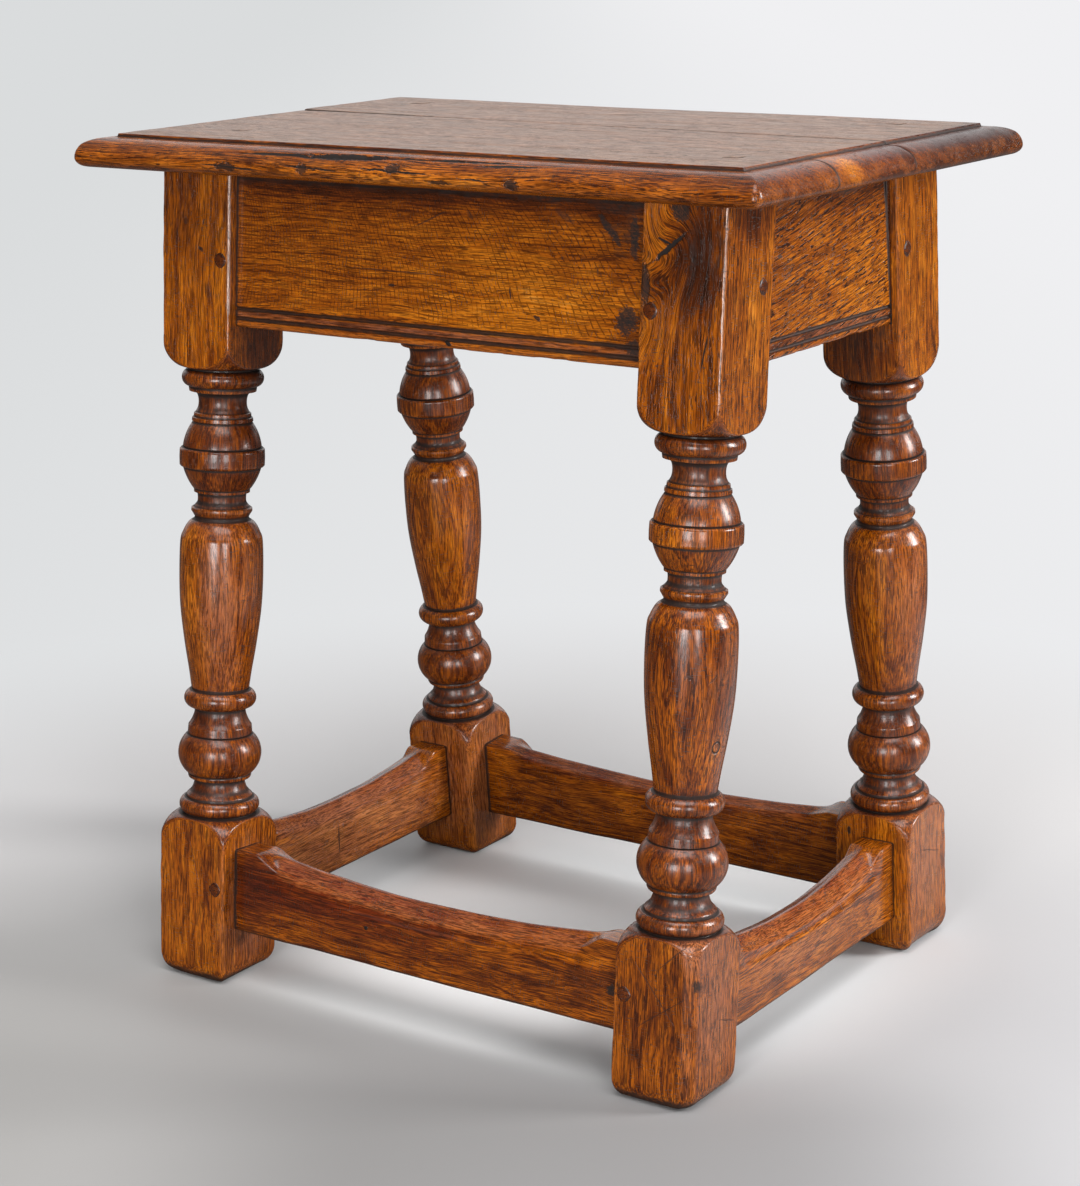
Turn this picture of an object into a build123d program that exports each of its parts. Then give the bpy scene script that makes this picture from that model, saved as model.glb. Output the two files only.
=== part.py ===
from build123d import *
import os
from math import hypot

os.makedirs("parts", exist_ok=True)

# Joint stool in pegged oak.  Millimetres, +Z up.  The origin is on the floor, midway between the
# four feet.  X runs along the seat and the front is towards -Y.  The legs stand upright seen from
# the front and lean inwards seen from the side, so front and back rails lie in leaning planes.

# ---- driving dimensions --------------------------------------------------------------------------

# Seat
seat_length = 464.8
seat_width = 315.4
seat_height = 518.0
seat_thickness = 19.3
seat_corner_radius = 4.5
joint_left = 37.0  # where the glue joint meets the left end, measured back from the middle
joint_right = 16.0  # and where it meets the right end

# Thumb moulding round the seat
moulding_width = 19.4
moulding_step = 1.8
moulding_flat = 3.8
moulding_fall = 0.3
nose_height = 5.9  # widest point, above the underside
under_round = 9.6

# Old repair let into the moulding of the right end, against the glue joint
patch_front = -73.0

# Legs
leg_square = 51.5
leg_lean = 0.0808  # inward lean for each unit of height
leg_end_inset = 64.4  # end of the seat to the axis of a leg
leg_side_inset = 62.9  # side of the seat to the axis, at the underside
foot_block = 97.8
top_block = 125.1
foot_wear = 4.0
block_arris = 1.0
dome_shoulder = 22.0  # radius where the rounded end of a block begins
dome_rise = 18.0

# The turner's marks sit a little differently on each leg
mark_shift = {
    "front_left": 3.4,
    "front_right": -1.8,
    "back_right": -3.3,
    "back_left": 1.75,
}

# Story stick of the turning, measured up from the foot block.  Each member is a list of
# (radius, height): "flat" joins its points by lines, "round" is an arc through three points and
# "sweep" is a smooth curve through all of them.
stick_length = 276.5
story_stick = [
    ("round", [(21.8, 0.3), (24.7, 4.8), (22.6, 9.3)]),  # base ring
    ("flat", [(20.6, 9.8), (20.2, 11.5)]),
    ("sweep", [(20.0, 11.7), (17.2, 14.7), (15.6, 19.0), (15.5, 21.8)]),  # lowest neck
    ("round", [(18.9, 22.3), (19.5, 23.7), (19.2, 25.1)]),
    ("round", [(20.2, 25.7), (25.6, 38.8), (20.4, 49.8)]),  # bulb
    ("flat", [(19.2, 50.1), (19.9, 50.6), (19.5, 55.4)]),
    ("sweep", [(19.3, 55.7), (17.4, 58.9), (15.9, 63.0), (15.6, 66.5)]),  # bell-shaped neck
    ("round", [(18.6, 67.1), (22.2, 72.3), (19.2, 77.5)]),  # lower ring
    ("sweep", [(17.6, 78.1), (19.4, 90.8), (22.2, 108.3), (24.9, 130.8), (25.6, 153.0),
               (25.1, 170.5), (23.5, 176.1), (20.5, 181.5), (16.7, 184.4)]),  # vase
    ("flat", [(16.4, 185.6), (18.6, 189.2), (18.5, 190.9)]),  # sharp ring
    ("sweep", [(17.0, 191.9), (15.0, 194.4), (14.7, 197.2), (15.0, 200.2)]),  # middle neck
    ("flat", [(17.0, 200.7), (17.1, 202.7)]),
    ("round", [(17.8, 203.3), (21.4, 210.4), (24.3, 216.5)]),  # ball, lower half
    ("flat", [(25.6, 216.9), (25.6, 227.9)]),  # band
    ("round", [(24.0, 228.5), (22.0, 235.9), (17.9, 243.5)]),  # ball, upper half
    ("flat", [(18.5, 244.1), (18.3, 246.1), (17.4, 246.5), (17.2, 248.9)]),
    ("sweep", [(16.3, 249.4), (14.9, 252.2), (14.5, 256.0), (15.2, 259.7), (16.9, 261.7)]),
    ("flat", [(20.2, 262.1), (20.6, 265.0)]),
    ("round", [(22.0, 265.5), (24.8, 270.1), (22.4, 274.9)]),  # top ring
    ("flat", [(20.8, 275.2), (20.8, 276.0)]),
]

# Aprons, hung from the underside of the seat
apron_depth = 92.7
apron_thickness = 19.0
front_apron_setback = 6.4  # back from the faces of the legs
side_apron_setback = 5.0
apron_grooves = [5.2, 11.0]  # scratched lines, above the lower edge
groove_radius = 1.1
bead_radius = 2.4

# Stretchers: height of the lower edge on each side, and how far feet have worn the top
stretcher_height = 51.5
stretcher_thickness = 22.5
stretcher_setback = 10.5
stretcher_bottom = {"front": 32.5, "right": 24.5, "back": 28.5, "left": 28.5}
stretcher_wear = {"front": 9.0, "right": 10.0, "back": 7.0, "left": 8.0}
unworn_end = 16.0
stretcher_arris = 1.5

# Thin slip that closes the shoulder of the right apron at the back leg
slip_depth = 8.0
slip_top = 6.0
slip_bottom = 0.8

# Mortise and tenon joints, gauged from the outer faces of the legs
mortise_gauge = 14.75  # outer face of the leg to the near cheek
tenon_thickness = 9.0
tenon_wall = 1.6  # wood left between the two tenons that meet in a leg
apron_haunch = 26.7  # top of the apron to the top of its tenon
apron_tenon_foot = 8.0  # lower edge of the apron to the lower edge of its tenon
stretcher_shoulder = 5.0
mortise_play = 0.1
mortise_end_play = 0.4

# Pegs through leg and tenon
peg_diameter = 8.8
peg_play = 0.05
peg_proud = 0.5
peg_past_tenon = 8.0
long_peg_inset = 6.75  # shoulder to peg, front and back rails
side_peg_inset = 11.0  # shoulder to peg, side rails
apron_peg_drop = {  # underside of the seat to each pair of pegs, left or front one first
    "front": (53.9, 60.6),
    "back": (56.0, 58.0),
    "left": (50.0, 52.0),
    "right": (49.5, 49.2),
}
stretcher_peg_rise = {  # lower edge of the stretcher to each pair of pegs
    "front": (27.0, 27.0),
    "back": (25.0, 27.0),
    "left": (25.0, 27.0),
    "right": (26.0, 25.0),
}

# Squared pegs through the seat into the leg tops, measured in from the outer faces of each leg
seat_peg_side = 10.5
seat_peg_length = 40.3
seat_peg_proud = 0.3
seat_peg_insets = {
    "front_left": (36.6, 30.6),
    "front_right": (11.7, 25.6),
    "back_right": (22.7, 9.1),
    "back_left": (22.7, 15.6),
}

# ---- derived dimensions --------------------------------------------------------------------------

seat_underside = seat_height - seat_thickness
half_length = seat_length / 2
half_width = seat_width / 2
lean_length = hypot(1, leg_lean)
half_square = leg_square / 2
leg_x = half_length - leg_end_inset
leg_top_y = half_width - leg_side_inset
foot_y = leg_top_y + leg_lean * seat_underside
dome_reach = hypot(half_square, half_square) - dome_shoulder
leg_length = seat_underside * lean_length
turning_length = leg_length - foot_block - top_block
mark_scale = turning_length / stick_length
block_clear = leg_square  # radius that leaves a block square
trim = 30.0  # surplus left for level cuts
tenon_cheek = half_square - mortise_gauge - tenon_thickness  # inner cheek, from the leg's axis
tenon_end = tenon_cheek - tenon_wall
apron_bottom = seat_underside - apron_depth

corners = {  # X side, Y side, end of the stool and long side that each leg belongs to
    "front_left": (-1, -1, "left", "front"),
    "front_right": (1, -1, "right", "front"),
    "back_right": (1, 1, "right", "back"),
    "back_left": (-1, 1, "left", "back"),
}
long_sides = {"front": -1, "back": 1}
end_sides = {"left": -1, "right": 1}

# ---- places --------------------------------------------------------------------------------------


def leg_plane(side_x, side_y):
    """Plane across the foot of a leg, its normal up the leaning axis."""
    return Plane(
        origin=(side_x * leg_x, side_y * foot_y, 0),
        x_dir=(1, 0, 0),
        z_dir=(0, -side_y * leg_lean, 1),
    )


def turning_plane(side_x, side_y):
    """Plane through the axis of a leg: X is the radius and Y the height up the axis."""
    return Plane(
        origin=(side_x * leg_x, side_y * foot_y, 0),
        x_dir=(1, 0, 0),
        z_dir=(0, -1, -side_y * leg_lean),
    )


def long_face_plane(side_y):
    """Plane through the axes of the front or back legs, seen from outside the stool."""
    return Plane(origin=(0, side_y * foot_y, 0), x_dir=(-side_y, 0, 0), z_dir=(0, side_y, leg_lean))


def side_face_plane(side_x):
    """Plane through the axes of the left or right legs, seen from outside the stool."""
    return Plane(origin=(side_x * leg_x, 0, 0), x_dir=(0, side_x, 0), z_dir=(side_x, 0, 0))


def long_section_plane(side_y):
    """Plane across a front or back rail: X outwards from the leg axes and Y up the lean."""
    return Plane(origin=(0, side_y * foot_y, 0), x_dir=(0, side_y, leg_lean), z_dir=(side_y, 0, 0))


def side_section_plane(side_x):
    """Plane across a side rail: X outwards from the leg axes and Y up."""
    return Plane(origin=(side_x * leg_x, 0, 0), x_dir=(side_x, 0, 0), z_dir=(0, -side_x, 0))


def side_reach(height, offset):
    """Distance from the middle of a side to a line parallel to the leaning legs."""
    return foot_y - leg_lean * height + offset * lean_length


# ---- shared features -----------------------------------------------------------------------------


def keep(piece, name):
    """Label a finished piece and write it to its own file."""
    piece.part.label = name
    export_step(piece.part, f"parts/{name}.step")


def side_trapezoid(bottom, top, offset):
    """Elevation of something that spans the side between lines parallel to the legs."""
    low = side_reach(bottom, offset)
    high = side_reach(top, offset)
    Polygon((-low, bottom), (low, bottom), (high, top), (-high, top), align=None)


def long_tongue(side_y, bottom, top, play, end_play, mode):
    """One tongue along a front or back rail: its ends are the tenons, or their mortises."""
    with BuildSketch(long_face_plane(side_y).offset(tenon_cheek - play)) as tongue:
        with Locations((0, (bottom + top) / 2)):
            Rectangle(2 * (leg_x + tenon_end + end_play), top - bottom + 2 * play)
    extrude(tongue.sketch, amount=tenon_thickness + 2 * play, mode=mode)


def side_tongue(side_x, bottom, top, play, end_play, mode):
    """One tongue along a side rail: its ends are the tenons, or their mortises."""
    with BuildSketch(side_face_plane(side_x).offset(tenon_cheek - play)) as tongue:
        side_trapezoid(bottom - play, top + play, tenon_end + end_play)
    extrude(tongue.sketch, amount=tenon_thickness + 2 * play, mode=mode)


def apron_tenon_heights():
    """Lower and upper edge of an apron tenon."""
    return apron_bottom + apron_tenon_foot, seat_underside - apron_haunch


def stretcher_tenon_heights(side):
    """Lower and upper edge of a stretcher tenon."""
    bottom = stretcher_bottom[side]
    return bottom + stretcher_shoulder, bottom + stretcher_height - stretcher_shoulder


def apron_peg_heights(side):
    """Heights of the two pegs of an apron."""
    return [seat_underside - drop for drop in apron_peg_drop[side]]


def stretcher_peg_heights(side):
    """Heights of the two pegs of a stretcher."""
    return [stretcher_bottom[side] + rise for rise in stretcher_peg_rise[side]]


def long_pegs(side_y, heights, play, mode):
    """The two pegs of a front or back rail, driven from outside, or the holes for them."""
    peg_x = leg_x - half_square + long_peg_inset
    tip = tenon_cheek - peg_past_tenon - play
    with BuildSketch(long_face_plane(side_y).offset(tip)) as pegs:
        with Locations((side_y * peg_x, heights[0]), (-side_y * peg_x, heights[1])):
            Circle(peg_diameter / 2 + play)
    extrude(pegs.sketch, amount=half_square + peg_proud - tip, mode=mode)


def side_pegs(side_x, heights, from_inside, play, mode):
    """The two pegs of a side rail, driven from outside or inside, or the holes for them."""
    peg_y = [side_reach(height, side_peg_inset - half_square) for height in heights]
    inner = tenon_cheek - peg_past_tenon - play
    outer = half_square + peg_proud
    if from_inside:
        inner = -half_square
        outer = tenon_cheek + tenon_thickness + peg_past_tenon + play
    with BuildSketch(side_face_plane(side_x).offset(inner)) as pegs:
        with Locations((-side_x * peg_y[0], heights[0]), (side_x * peg_y[1], heights[1])):
            Circle(peg_diameter / 2 + play)
    extrude(pegs.sketch, amount=outer - inner, mode=mode)


def seat_peg_place(corner):
    """Middle of the seat peg over one leg."""
    side_x, side_y, _, _ = corners[corner]
    inset_x, inset_y = seat_peg_insets[corner]
    outer_x = leg_x + half_square
    outer_y = leg_top_y + half_square * lean_length
    return side_x * (outer_x - inset_x), side_y * (outer_y - inset_y)


def seat_peg_bars(play, mode):
    """The four squared pegs of the seat, or the holes for them."""
    with BuildSketch(Plane.XY.offset(seat_height - seat_peg_length - play)) as bars:
        with Locations(*[seat_peg_place(corner) for corner in corners]):
            Rectangle(seat_peg_side + 2 * play, seat_peg_side + 2 * play)
    extrude(bars.sketch, amount=seat_peg_length + seat_peg_proud + play, mode=mode)


# ---- seat ----------------------------------------------------------------------------------------


def moulded_section(plane, half_span):
    """Cross-section of the seat, with the thumb moulding at both edges."""
    field = half_span - moulding_width
    thumb_top = seat_height - moulding_step - moulding_fall
    thumb_start = field + moulding_flat
    nose = seat_underside + nose_height
    with BuildSketch(plane) as section:
        with BuildLine():
            Polyline(
                (0, seat_height),
                (field, seat_height),
                (field, seat_height - moulding_step),
                (thumb_start, thumb_top),
            )
            EllipticalCenterArc((thumb_start, nose), half_span - thumb_start, thumb_top - nose, 0)
            EllipticalCenterArc((half_span - under_round, nose), under_round, nose_height, 270)
            Line((half_span - under_round, seat_underside), (0, seat_underside))
            mirror(about=Plane.YZ)
        make_face()
    return section.sketch


def moulded_seat():
    """The whole seat, moulded on all four edges, with its corners eased and its peg holes."""
    extrude(moulded_section(Plane.XZ, half_length), amount=half_width, both=True)
    across = moulded_section(Plane.YZ, half_width)
    extrude(across, amount=half_length, both=True, mode=Mode.INTERSECT)
    with BuildSketch(Plane.XY.offset(seat_underside)) as plan:
        RectangleRounded(seat_length, seat_width, seat_corner_radius)
    extrude(plan.sketch, amount=seat_thickness, mode=Mode.INTERSECT)
    seat_peg_bars(mortise_play, Mode.SUBTRACT)


def patch_block(mode):
    """The block of moulding that the repair replaces, from its front seam back past the joint."""
    with BuildSketch(Plane.XY.offset(seat_underside)) as plan:
        with Locations((half_length - moulding_width, patch_front)):
            Rectangle(moulding_width, joint_left - patch_front, align=Align.MIN)
    extrude(plan.sketch, amount=seat_thickness, mode=mode)


joint_plane = Plane(
    origin=(0, (joint_left + joint_right) / 2, 0),
    x_dir=(seat_length, joint_right - joint_left, 0),
    z_dir=(joint_left - joint_right, seat_length, 0),
)

with BuildPart() as seat_front_board:
    moulded_seat()
    split(bisect_by=joint_plane, keep=Keep.BOTTOM)
    patch_block(Mode.SUBTRACT)
keep(seat_front_board, "seat_front_board")

with BuildPart() as seat_back_board:
    moulded_seat()
    split(bisect_by=joint_plane, keep=Keep.TOP)
keep(seat_back_board, "seat_back_board")

with BuildPart() as seat_end_patch:
    moulded_seat()
    split(bisect_by=joint_plane, keep=Keep.BOTTOM)
    patch_block(Mode.INTERSECT)
keep(seat_end_patch, "seat_end_patch")

with BuildPart() as seat_pegs:
    seat_peg_bars(0, Mode.ADD)
keep(seat_pegs, "seat_pegs")

# ---- legs ----------------------------------------------------------------------------------------


def turned_outline(plane, shift):
    """Half outline of a whole leg, wide enough at both blocks to leave them square."""
    foot_end = foot_block + shift
    block_end = foot_end + turning_length
    pen = (dome_shoulder, foot_end)
    with BuildSketch(plane) as outline:
        with BuildLine():
            Polyline(
                (0, -trim),
                (block_clear, -trim),
                (block_clear, foot_end - dome_rise),
                (dome_shoulder + dome_reach, foot_end - dome_rise),
            )
            EllipticalCenterArc((dome_shoulder, foot_end - dome_rise), dome_reach, dome_rise, 0)
            for shape, marks in story_stick:
                points = [(radius, foot_end + mark * mark_scale) for radius, mark in marks]
                Line(pen, points[0])
                if shape == "flat":
                    Polyline(*points)
                elif shape == "round":
                    ThreePointArc(*points)
                else:
                    Spline(*points)
                pen = points[-1]
            Line(pen, (dome_shoulder, block_end))
            EllipticalCenterArc((dome_shoulder, block_end + dome_rise), dome_reach, dome_rise, 270)
            Polyline(
                (dome_shoulder + dome_reach, block_end + dome_rise),
                (block_clear, block_end + dome_rise),
                (block_clear, leg_length + trim),
                (0, leg_length + trim),
                (0, -trim),
            )
        make_face()
    return outline.sketch


def level_ends(middle):
    """Elevation that cuts a leg level at seat and floor, its foot worn away at 45 degrees."""
    flat = half_square - foot_wear
    Polygon(
        (middle - flat, 0),
        (middle + flat, 0),
        (middle + flat + seat_underside, seat_underside),
        (middle - flat - seat_underside, seat_underside),
        align=None,
    )


for corner, (side_x, side_y, end_side, long_side) in corners.items():
    axis_plane = leg_plane(side_x, side_y)
    with BuildPart() as leg:
        with BuildSketch(axis_plane.offset(-trim)):
            RectangleRounded(leg_square, leg_square, block_arris)
        extrude(amount=leg_length + 2 * trim)
        outline = turned_outline(turning_plane(side_x, side_y), mark_shift[corner])
        revolve(outline, axis=Axis(axis_plane.origin, axis_plane.z_dir), mode=Mode.INTERSECT)
        for across, middle in ((Plane.YZ, side_y * foot_y), (Plane.XZ, side_x * leg_x)):
            with BuildSketch(across):
                level_ends(middle)
            extrude(amount=seat_length, both=True, mode=Mode.INTERSECT)
        for heights in (apron_tenon_heights(), stretcher_tenon_heights(long_side)):
            long_tongue(side_y, *heights, mortise_play, mortise_end_play, Mode.SUBTRACT)
        for heights in (apron_tenon_heights(), stretcher_tenon_heights(end_side)):
            side_tongue(side_x, *heights, mortise_play, mortise_end_play, Mode.SUBTRACT)
        long_pegs(side_y, apron_peg_heights(long_side), peg_play, Mode.SUBTRACT)
        long_pegs(side_y, stretcher_peg_heights(long_side), peg_play, Mode.SUBTRACT)
        side_pegs(side_x, apron_peg_heights(end_side), False, peg_play, Mode.SUBTRACT)
        side_pegs(side_x, stretcher_peg_heights(end_side), True, peg_play, Mode.SUBTRACT)
        seat_peg_bars(mortise_play, Mode.SUBTRACT)
    keep(leg, f"leg_{corner}")

# ---- aprons --------------------------------------------------------------------------------------


def apron_section(outer, lean):
    """Section of an apron: grooves and bead outside, its top cut level under the seat."""
    inner = outer - apron_thickness
    rise = hypot(1, lean)
    Polygon(
        (inner, apron_bottom),
        (outer, apron_bottom),
        (outer, seat_underside * rise - outer * lean),
        (inner, seat_underside * rise - inner * lean),
        align=None,
    )
    with Locations(*[(outer, apron_bottom + height) for height in apron_grooves]):
        Circle(groove_radius, mode=Mode.SUBTRACT)


for side, side_y in long_sides.items():
    outer = half_square - front_apron_setback
    with BuildPart() as apron:
        with BuildSketch(long_section_plane(side_y)) as section:
            apron_section(outer, leg_lean)
            corner_point = section.vertices().sort_by(Axis.Y).group_by(Axis.Y)[0]
            fillet(corner_point.sort_by(Axis.X)[-1], bead_radius)
        extrude(amount=leg_x - half_square, both=True)
        long_tongue(side_y, *apron_tenon_heights(), 0, 0, Mode.ADD)
        long_pegs(side_y, apron_peg_heights(side), peg_play, Mode.SUBTRACT)
    keep(apron, f"apron_{side}")


def slip_wedge(mode):
    """The slip at the back shoulder of the right apron, or the gap that it fills."""
    face = half_square - side_apron_setback
    shoulder_low = side_reach(apron_bottom, -half_square)
    shoulder_high = side_reach(seat_underside, -half_square)
    with BuildSketch(side_face_plane(1).offset(face - slip_depth)) as wedge:
        Polygon(
            (shoulder_low - slip_bottom, apron_bottom),
            (shoulder_low, apron_bottom),
            (shoulder_high, seat_underside),
            (shoulder_high - slip_top, seat_underside),
            align=None,
        )
    extrude(wedge.sketch, amount=slip_depth, mode=mode)


for side, side_x in end_sides.items():
    outer = half_square - side_apron_setback
    with BuildPart() as apron:
        with BuildSketch(side_section_plane(side_x)) as section:
            apron_section(outer, 0)
            corner_point = section.vertices().sort_by(Axis.Y).group_by(Axis.Y)[0]
            fillet(corner_point.sort_by(Axis.X)[-1], bead_radius)
        extrude(amount=foot_y, both=True)
        with BuildSketch(side_face_plane(side_x)):
            side_trapezoid(apron_bottom, seat_underside, -half_square)
        extrude(amount=leg_square, both=True, mode=Mode.INTERSECT)
        side_tongue(side_x, *apron_tenon_heights(), 0, 0, Mode.ADD)
        side_pegs(side_x, apron_peg_heights(side), False, peg_play, Mode.SUBTRACT)
        if side == "right":
            slip_wedge(Mode.SUBTRACT)
    keep(apron, f"apron_{side}")

with BuildPart() as apron_right_slip:
    slip_wedge(Mode.ADD)
keep(apron_right_slip, "apron_right_slip")

# ---- stretchers ----------------------------------------------------------------------------------


def stretcher_section(bottom):
    """Section of a stretcher with its arrises eased."""
    with Locations((half_square - stretcher_setback, bottom)):
        Rectangle(stretcher_thickness, stretcher_height, align=(Align.MAX, Align.MIN))


def worn_hollow(plane, side, reach, top):
    """Wide round that cuts the worn hollow into the top of a stretcher, between its unworn ends."""
    end = reach - unworn_end
    wear = stretcher_wear[side]
    hollow_radius = (end**2 + wear**2) / (2 * wear)
    with BuildSketch(plane) as hollow:
        with Locations((0, top - wear + hollow_radius)):
            Circle(hollow_radius)
    return hollow.sketch


for side, side_y in long_sides.items():
    bottom = stretcher_bottom[side]
    top = bottom + stretcher_height
    with BuildPart() as stretcher:
        with BuildSketch(long_section_plane(side_y)) as section:
            stretcher_section(bottom)
            fillet(section.vertices(), stretcher_arris)
        extrude(amount=leg_x - half_square, both=True)
        long_tongue(side_y, *stretcher_tenon_heights(side), 0, 0, Mode.ADD)
        hollow = worn_hollow(long_face_plane(side_y), side, leg_x - half_square, top)
        extrude(hollow, amount=leg_square, both=True, mode=Mode.SUBTRACT)
        long_pegs(side_y, stretcher_peg_heights(side), peg_play, Mode.SUBTRACT)
    keep(stretcher, f"stretcher_{side}")

for side, side_x in end_sides.items():
    bottom = stretcher_bottom[side]
    top = bottom + stretcher_height
    with BuildPart() as stretcher:
        with BuildSketch(side_section_plane(side_x)) as section:
            stretcher_section(bottom)
            fillet(section.vertices(), stretcher_arris)
        extrude(amount=foot_y, both=True)
        with BuildSketch(side_face_plane(side_x)):
            side_trapezoid(bottom, top, -half_square)
        extrude(amount=leg_square, both=True, mode=Mode.INTERSECT)
        side_tongue(side_x, *stretcher_tenon_heights(side), 0, 0, Mode.ADD)
        hollow = worn_hollow(side_face_plane(side_x), side, side_reach(top, -half_square), top)
        extrude(hollow, amount=leg_square, both=True, mode=Mode.SUBTRACT)
        side_pegs(side_x, stretcher_peg_heights(side), True, peg_play, Mode.SUBTRACT)
    keep(stretcher, f"stretcher_{side}")

# ---- pegs of the rails ---------------------------------------------------------------------------

for side, side_y in long_sides.items():
    with BuildPart() as apron_pegs:
        long_pegs(side_y, apron_peg_heights(side), 0, Mode.ADD)
    keep(apron_pegs, f"pegs_apron_{side}")
    with BuildPart() as stretcher_pegs:
        long_pegs(side_y, stretcher_peg_heights(side), 0, Mode.ADD)
    keep(stretcher_pegs, f"pegs_stretcher_{side}")

for side, side_x in end_sides.items():
    with BuildPart() as apron_pegs:
        side_pegs(side_x, apron_peg_heights(side), False, 0, Mode.ADD)
    keep(apron_pegs, f"pegs_apron_{side}")
    with BuildPart() as stretcher_pegs:
        side_pegs(side_x, stretcher_peg_heights(side), True, 0, Mode.ADD)
    keep(stretcher_pegs, f"pegs_stretcher_{side}")
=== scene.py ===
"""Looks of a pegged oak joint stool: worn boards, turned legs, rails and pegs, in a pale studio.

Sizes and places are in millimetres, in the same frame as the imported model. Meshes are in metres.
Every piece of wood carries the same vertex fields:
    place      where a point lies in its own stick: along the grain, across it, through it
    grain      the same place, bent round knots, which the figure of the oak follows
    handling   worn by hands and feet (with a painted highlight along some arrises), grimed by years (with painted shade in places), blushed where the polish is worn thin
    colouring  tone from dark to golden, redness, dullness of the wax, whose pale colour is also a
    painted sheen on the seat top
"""

import logging
import math
from dataclasses import dataclass, field
from enum import Enum
from typing import ClassVar

import bpy
import numpy as np
from mathutils import Matrix, Vector


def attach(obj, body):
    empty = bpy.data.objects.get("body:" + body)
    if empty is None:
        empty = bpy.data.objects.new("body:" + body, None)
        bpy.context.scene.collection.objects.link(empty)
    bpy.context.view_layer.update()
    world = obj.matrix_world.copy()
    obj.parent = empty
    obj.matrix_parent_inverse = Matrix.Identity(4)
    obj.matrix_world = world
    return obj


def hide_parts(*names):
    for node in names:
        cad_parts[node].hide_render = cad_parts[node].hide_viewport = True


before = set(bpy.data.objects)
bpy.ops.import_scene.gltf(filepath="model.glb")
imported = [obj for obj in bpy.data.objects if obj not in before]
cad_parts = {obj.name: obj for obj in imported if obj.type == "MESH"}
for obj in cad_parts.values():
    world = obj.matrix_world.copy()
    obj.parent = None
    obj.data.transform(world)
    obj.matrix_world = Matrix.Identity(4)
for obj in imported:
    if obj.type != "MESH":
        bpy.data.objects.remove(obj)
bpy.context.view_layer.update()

MM = 0.001
LOG = logging.getLogger("joint_stool")
Socket = bpy.types.NodeSocket
SocketsByName = bpy.types.bpy_prop_collection


class Corner(Enum):
    """The four legs, with the X and Y side that each stands on."""

    FRONT_LEFT = (-1, -1)
    FRONT_RIGHT = (1, -1)
    BACK_RIGHT = (1, 1)
    BACK_LEFT = (-1, 1)


class Side(Enum):
    """The four sides of the stool, with the direction that each faces."""

    FRONT = (0, -1)
    RIGHT = (1, 0)
    BACK = (0, 1)
    LEFT = (-1, 0)


class Harm(Enum):
    """What a mark does: how dark it makes the wood and how deep it goes, in millimetres."""

    CRACK = (1.0, 0.5)
    GOUGE = (0.85, 0.6)
    STAIN = (0.88, 0.0)
    SHADE = (0.45, 0.0)
    SCRATCH = (0.6, 0.15)


class Cut(Enum):
    """How the turner cuts one stretch of a leg."""

    ROUND = "an arc through three marks"
    SWEEP = "a smooth curve through its marks"
    FLAT = "straight from mark to mark"


class Outline(Enum):
    """How much of its half of the seat a board fills."""

    WHOLE = "all of it"
    NOTCHED = "all but the patch"
    PATCH = "only the patch"


class Face(Enum):
    """A marked surface: which of a piece's three directions it is square to, and where it lies."""

    LEG_FRONT = (2, -25.8)
    LEG_RIGHT = (1, 25.8)
    RAIL = (2, 17.5)
    SEAT_TOP = (2, 517.5)
    SEAT_FRONT = (1, -155.0)

    def lift(self, spot: tuple) -> Vector:
        """Place in three numbers of a spot that may be given by two.

        Args:
            spot: The spot, as two or three numbers.

        Returns:
            The place.
        """
        full = list(spot)
        if len(full) == 2:
            full.insert(*self.value)
        return Vector(full)

    @property
    def normal(self) -> Vector:
        """Direction square to the surface."""
        return Vector([float(axis == self.value[0]) for axis in range(3)])


# ---- numbers


def ease(low: float, high: float, value: np.ndarray) -> np.ndarray:
    """Smooth step from 0 at low to 1 at high.

    Args:
        low: Value where the step starts.
        high: Value where the step ends; it may be under low.
        value: Values to take the step of.

    Returns:
        The step, from 0 to 1, of the same shape as value.
    """
    part = np.clip((value - low) / (high - low), 0.0, 1.0)
    return part * part * (3.0 - 2.0 * part)


def arc_through(start: tuple, middle: tuple, end: tuple, count: int) -> np.ndarray:
    """Points on the circle through three points.

    Args:
        start: First point.
        middle: A point between the others.
        end: Last point.
        count: How many points to give.

    Returns:
        The points in order, as rows of two numbers.
    """
    (ax, ay), (bx, by), (cx, cy) = start, middle, end
    twice = 2.0 * (ax * (by - cy) + bx * (cy - ay) + cx * (ay - by))
    a_sq, b_sq, c_sq = ax**2 + ay**2, bx**2 + by**2, cx**2 + cy**2
    mid_x = (a_sq * (by - cy) + b_sq * (cy - ay) + c_sq * (ay - by)) / twice
    mid_y = (a_sq * (cx - bx) + b_sq * (ax - cx) + c_sq * (bx - ax)) / twice
    radius = math.hypot(ax - mid_x, ay - mid_y)
    first = math.atan2(ay - mid_y, ax - mid_x)
    through = math.remainder(math.atan2(by - mid_y, bx - mid_x) - first, 2 * math.pi)
    last = math.remainder(math.atan2(cy - mid_y, cx - mid_x) - first, 2 * math.pi)
    if last * through < 0:
        last += math.copysign(2 * math.pi, through)
    turn = first + np.linspace(0.0, last, count)
    return np.stack([mid_x + radius * np.cos(turn), mid_y + radius * np.sin(turn)], axis=1)


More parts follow.
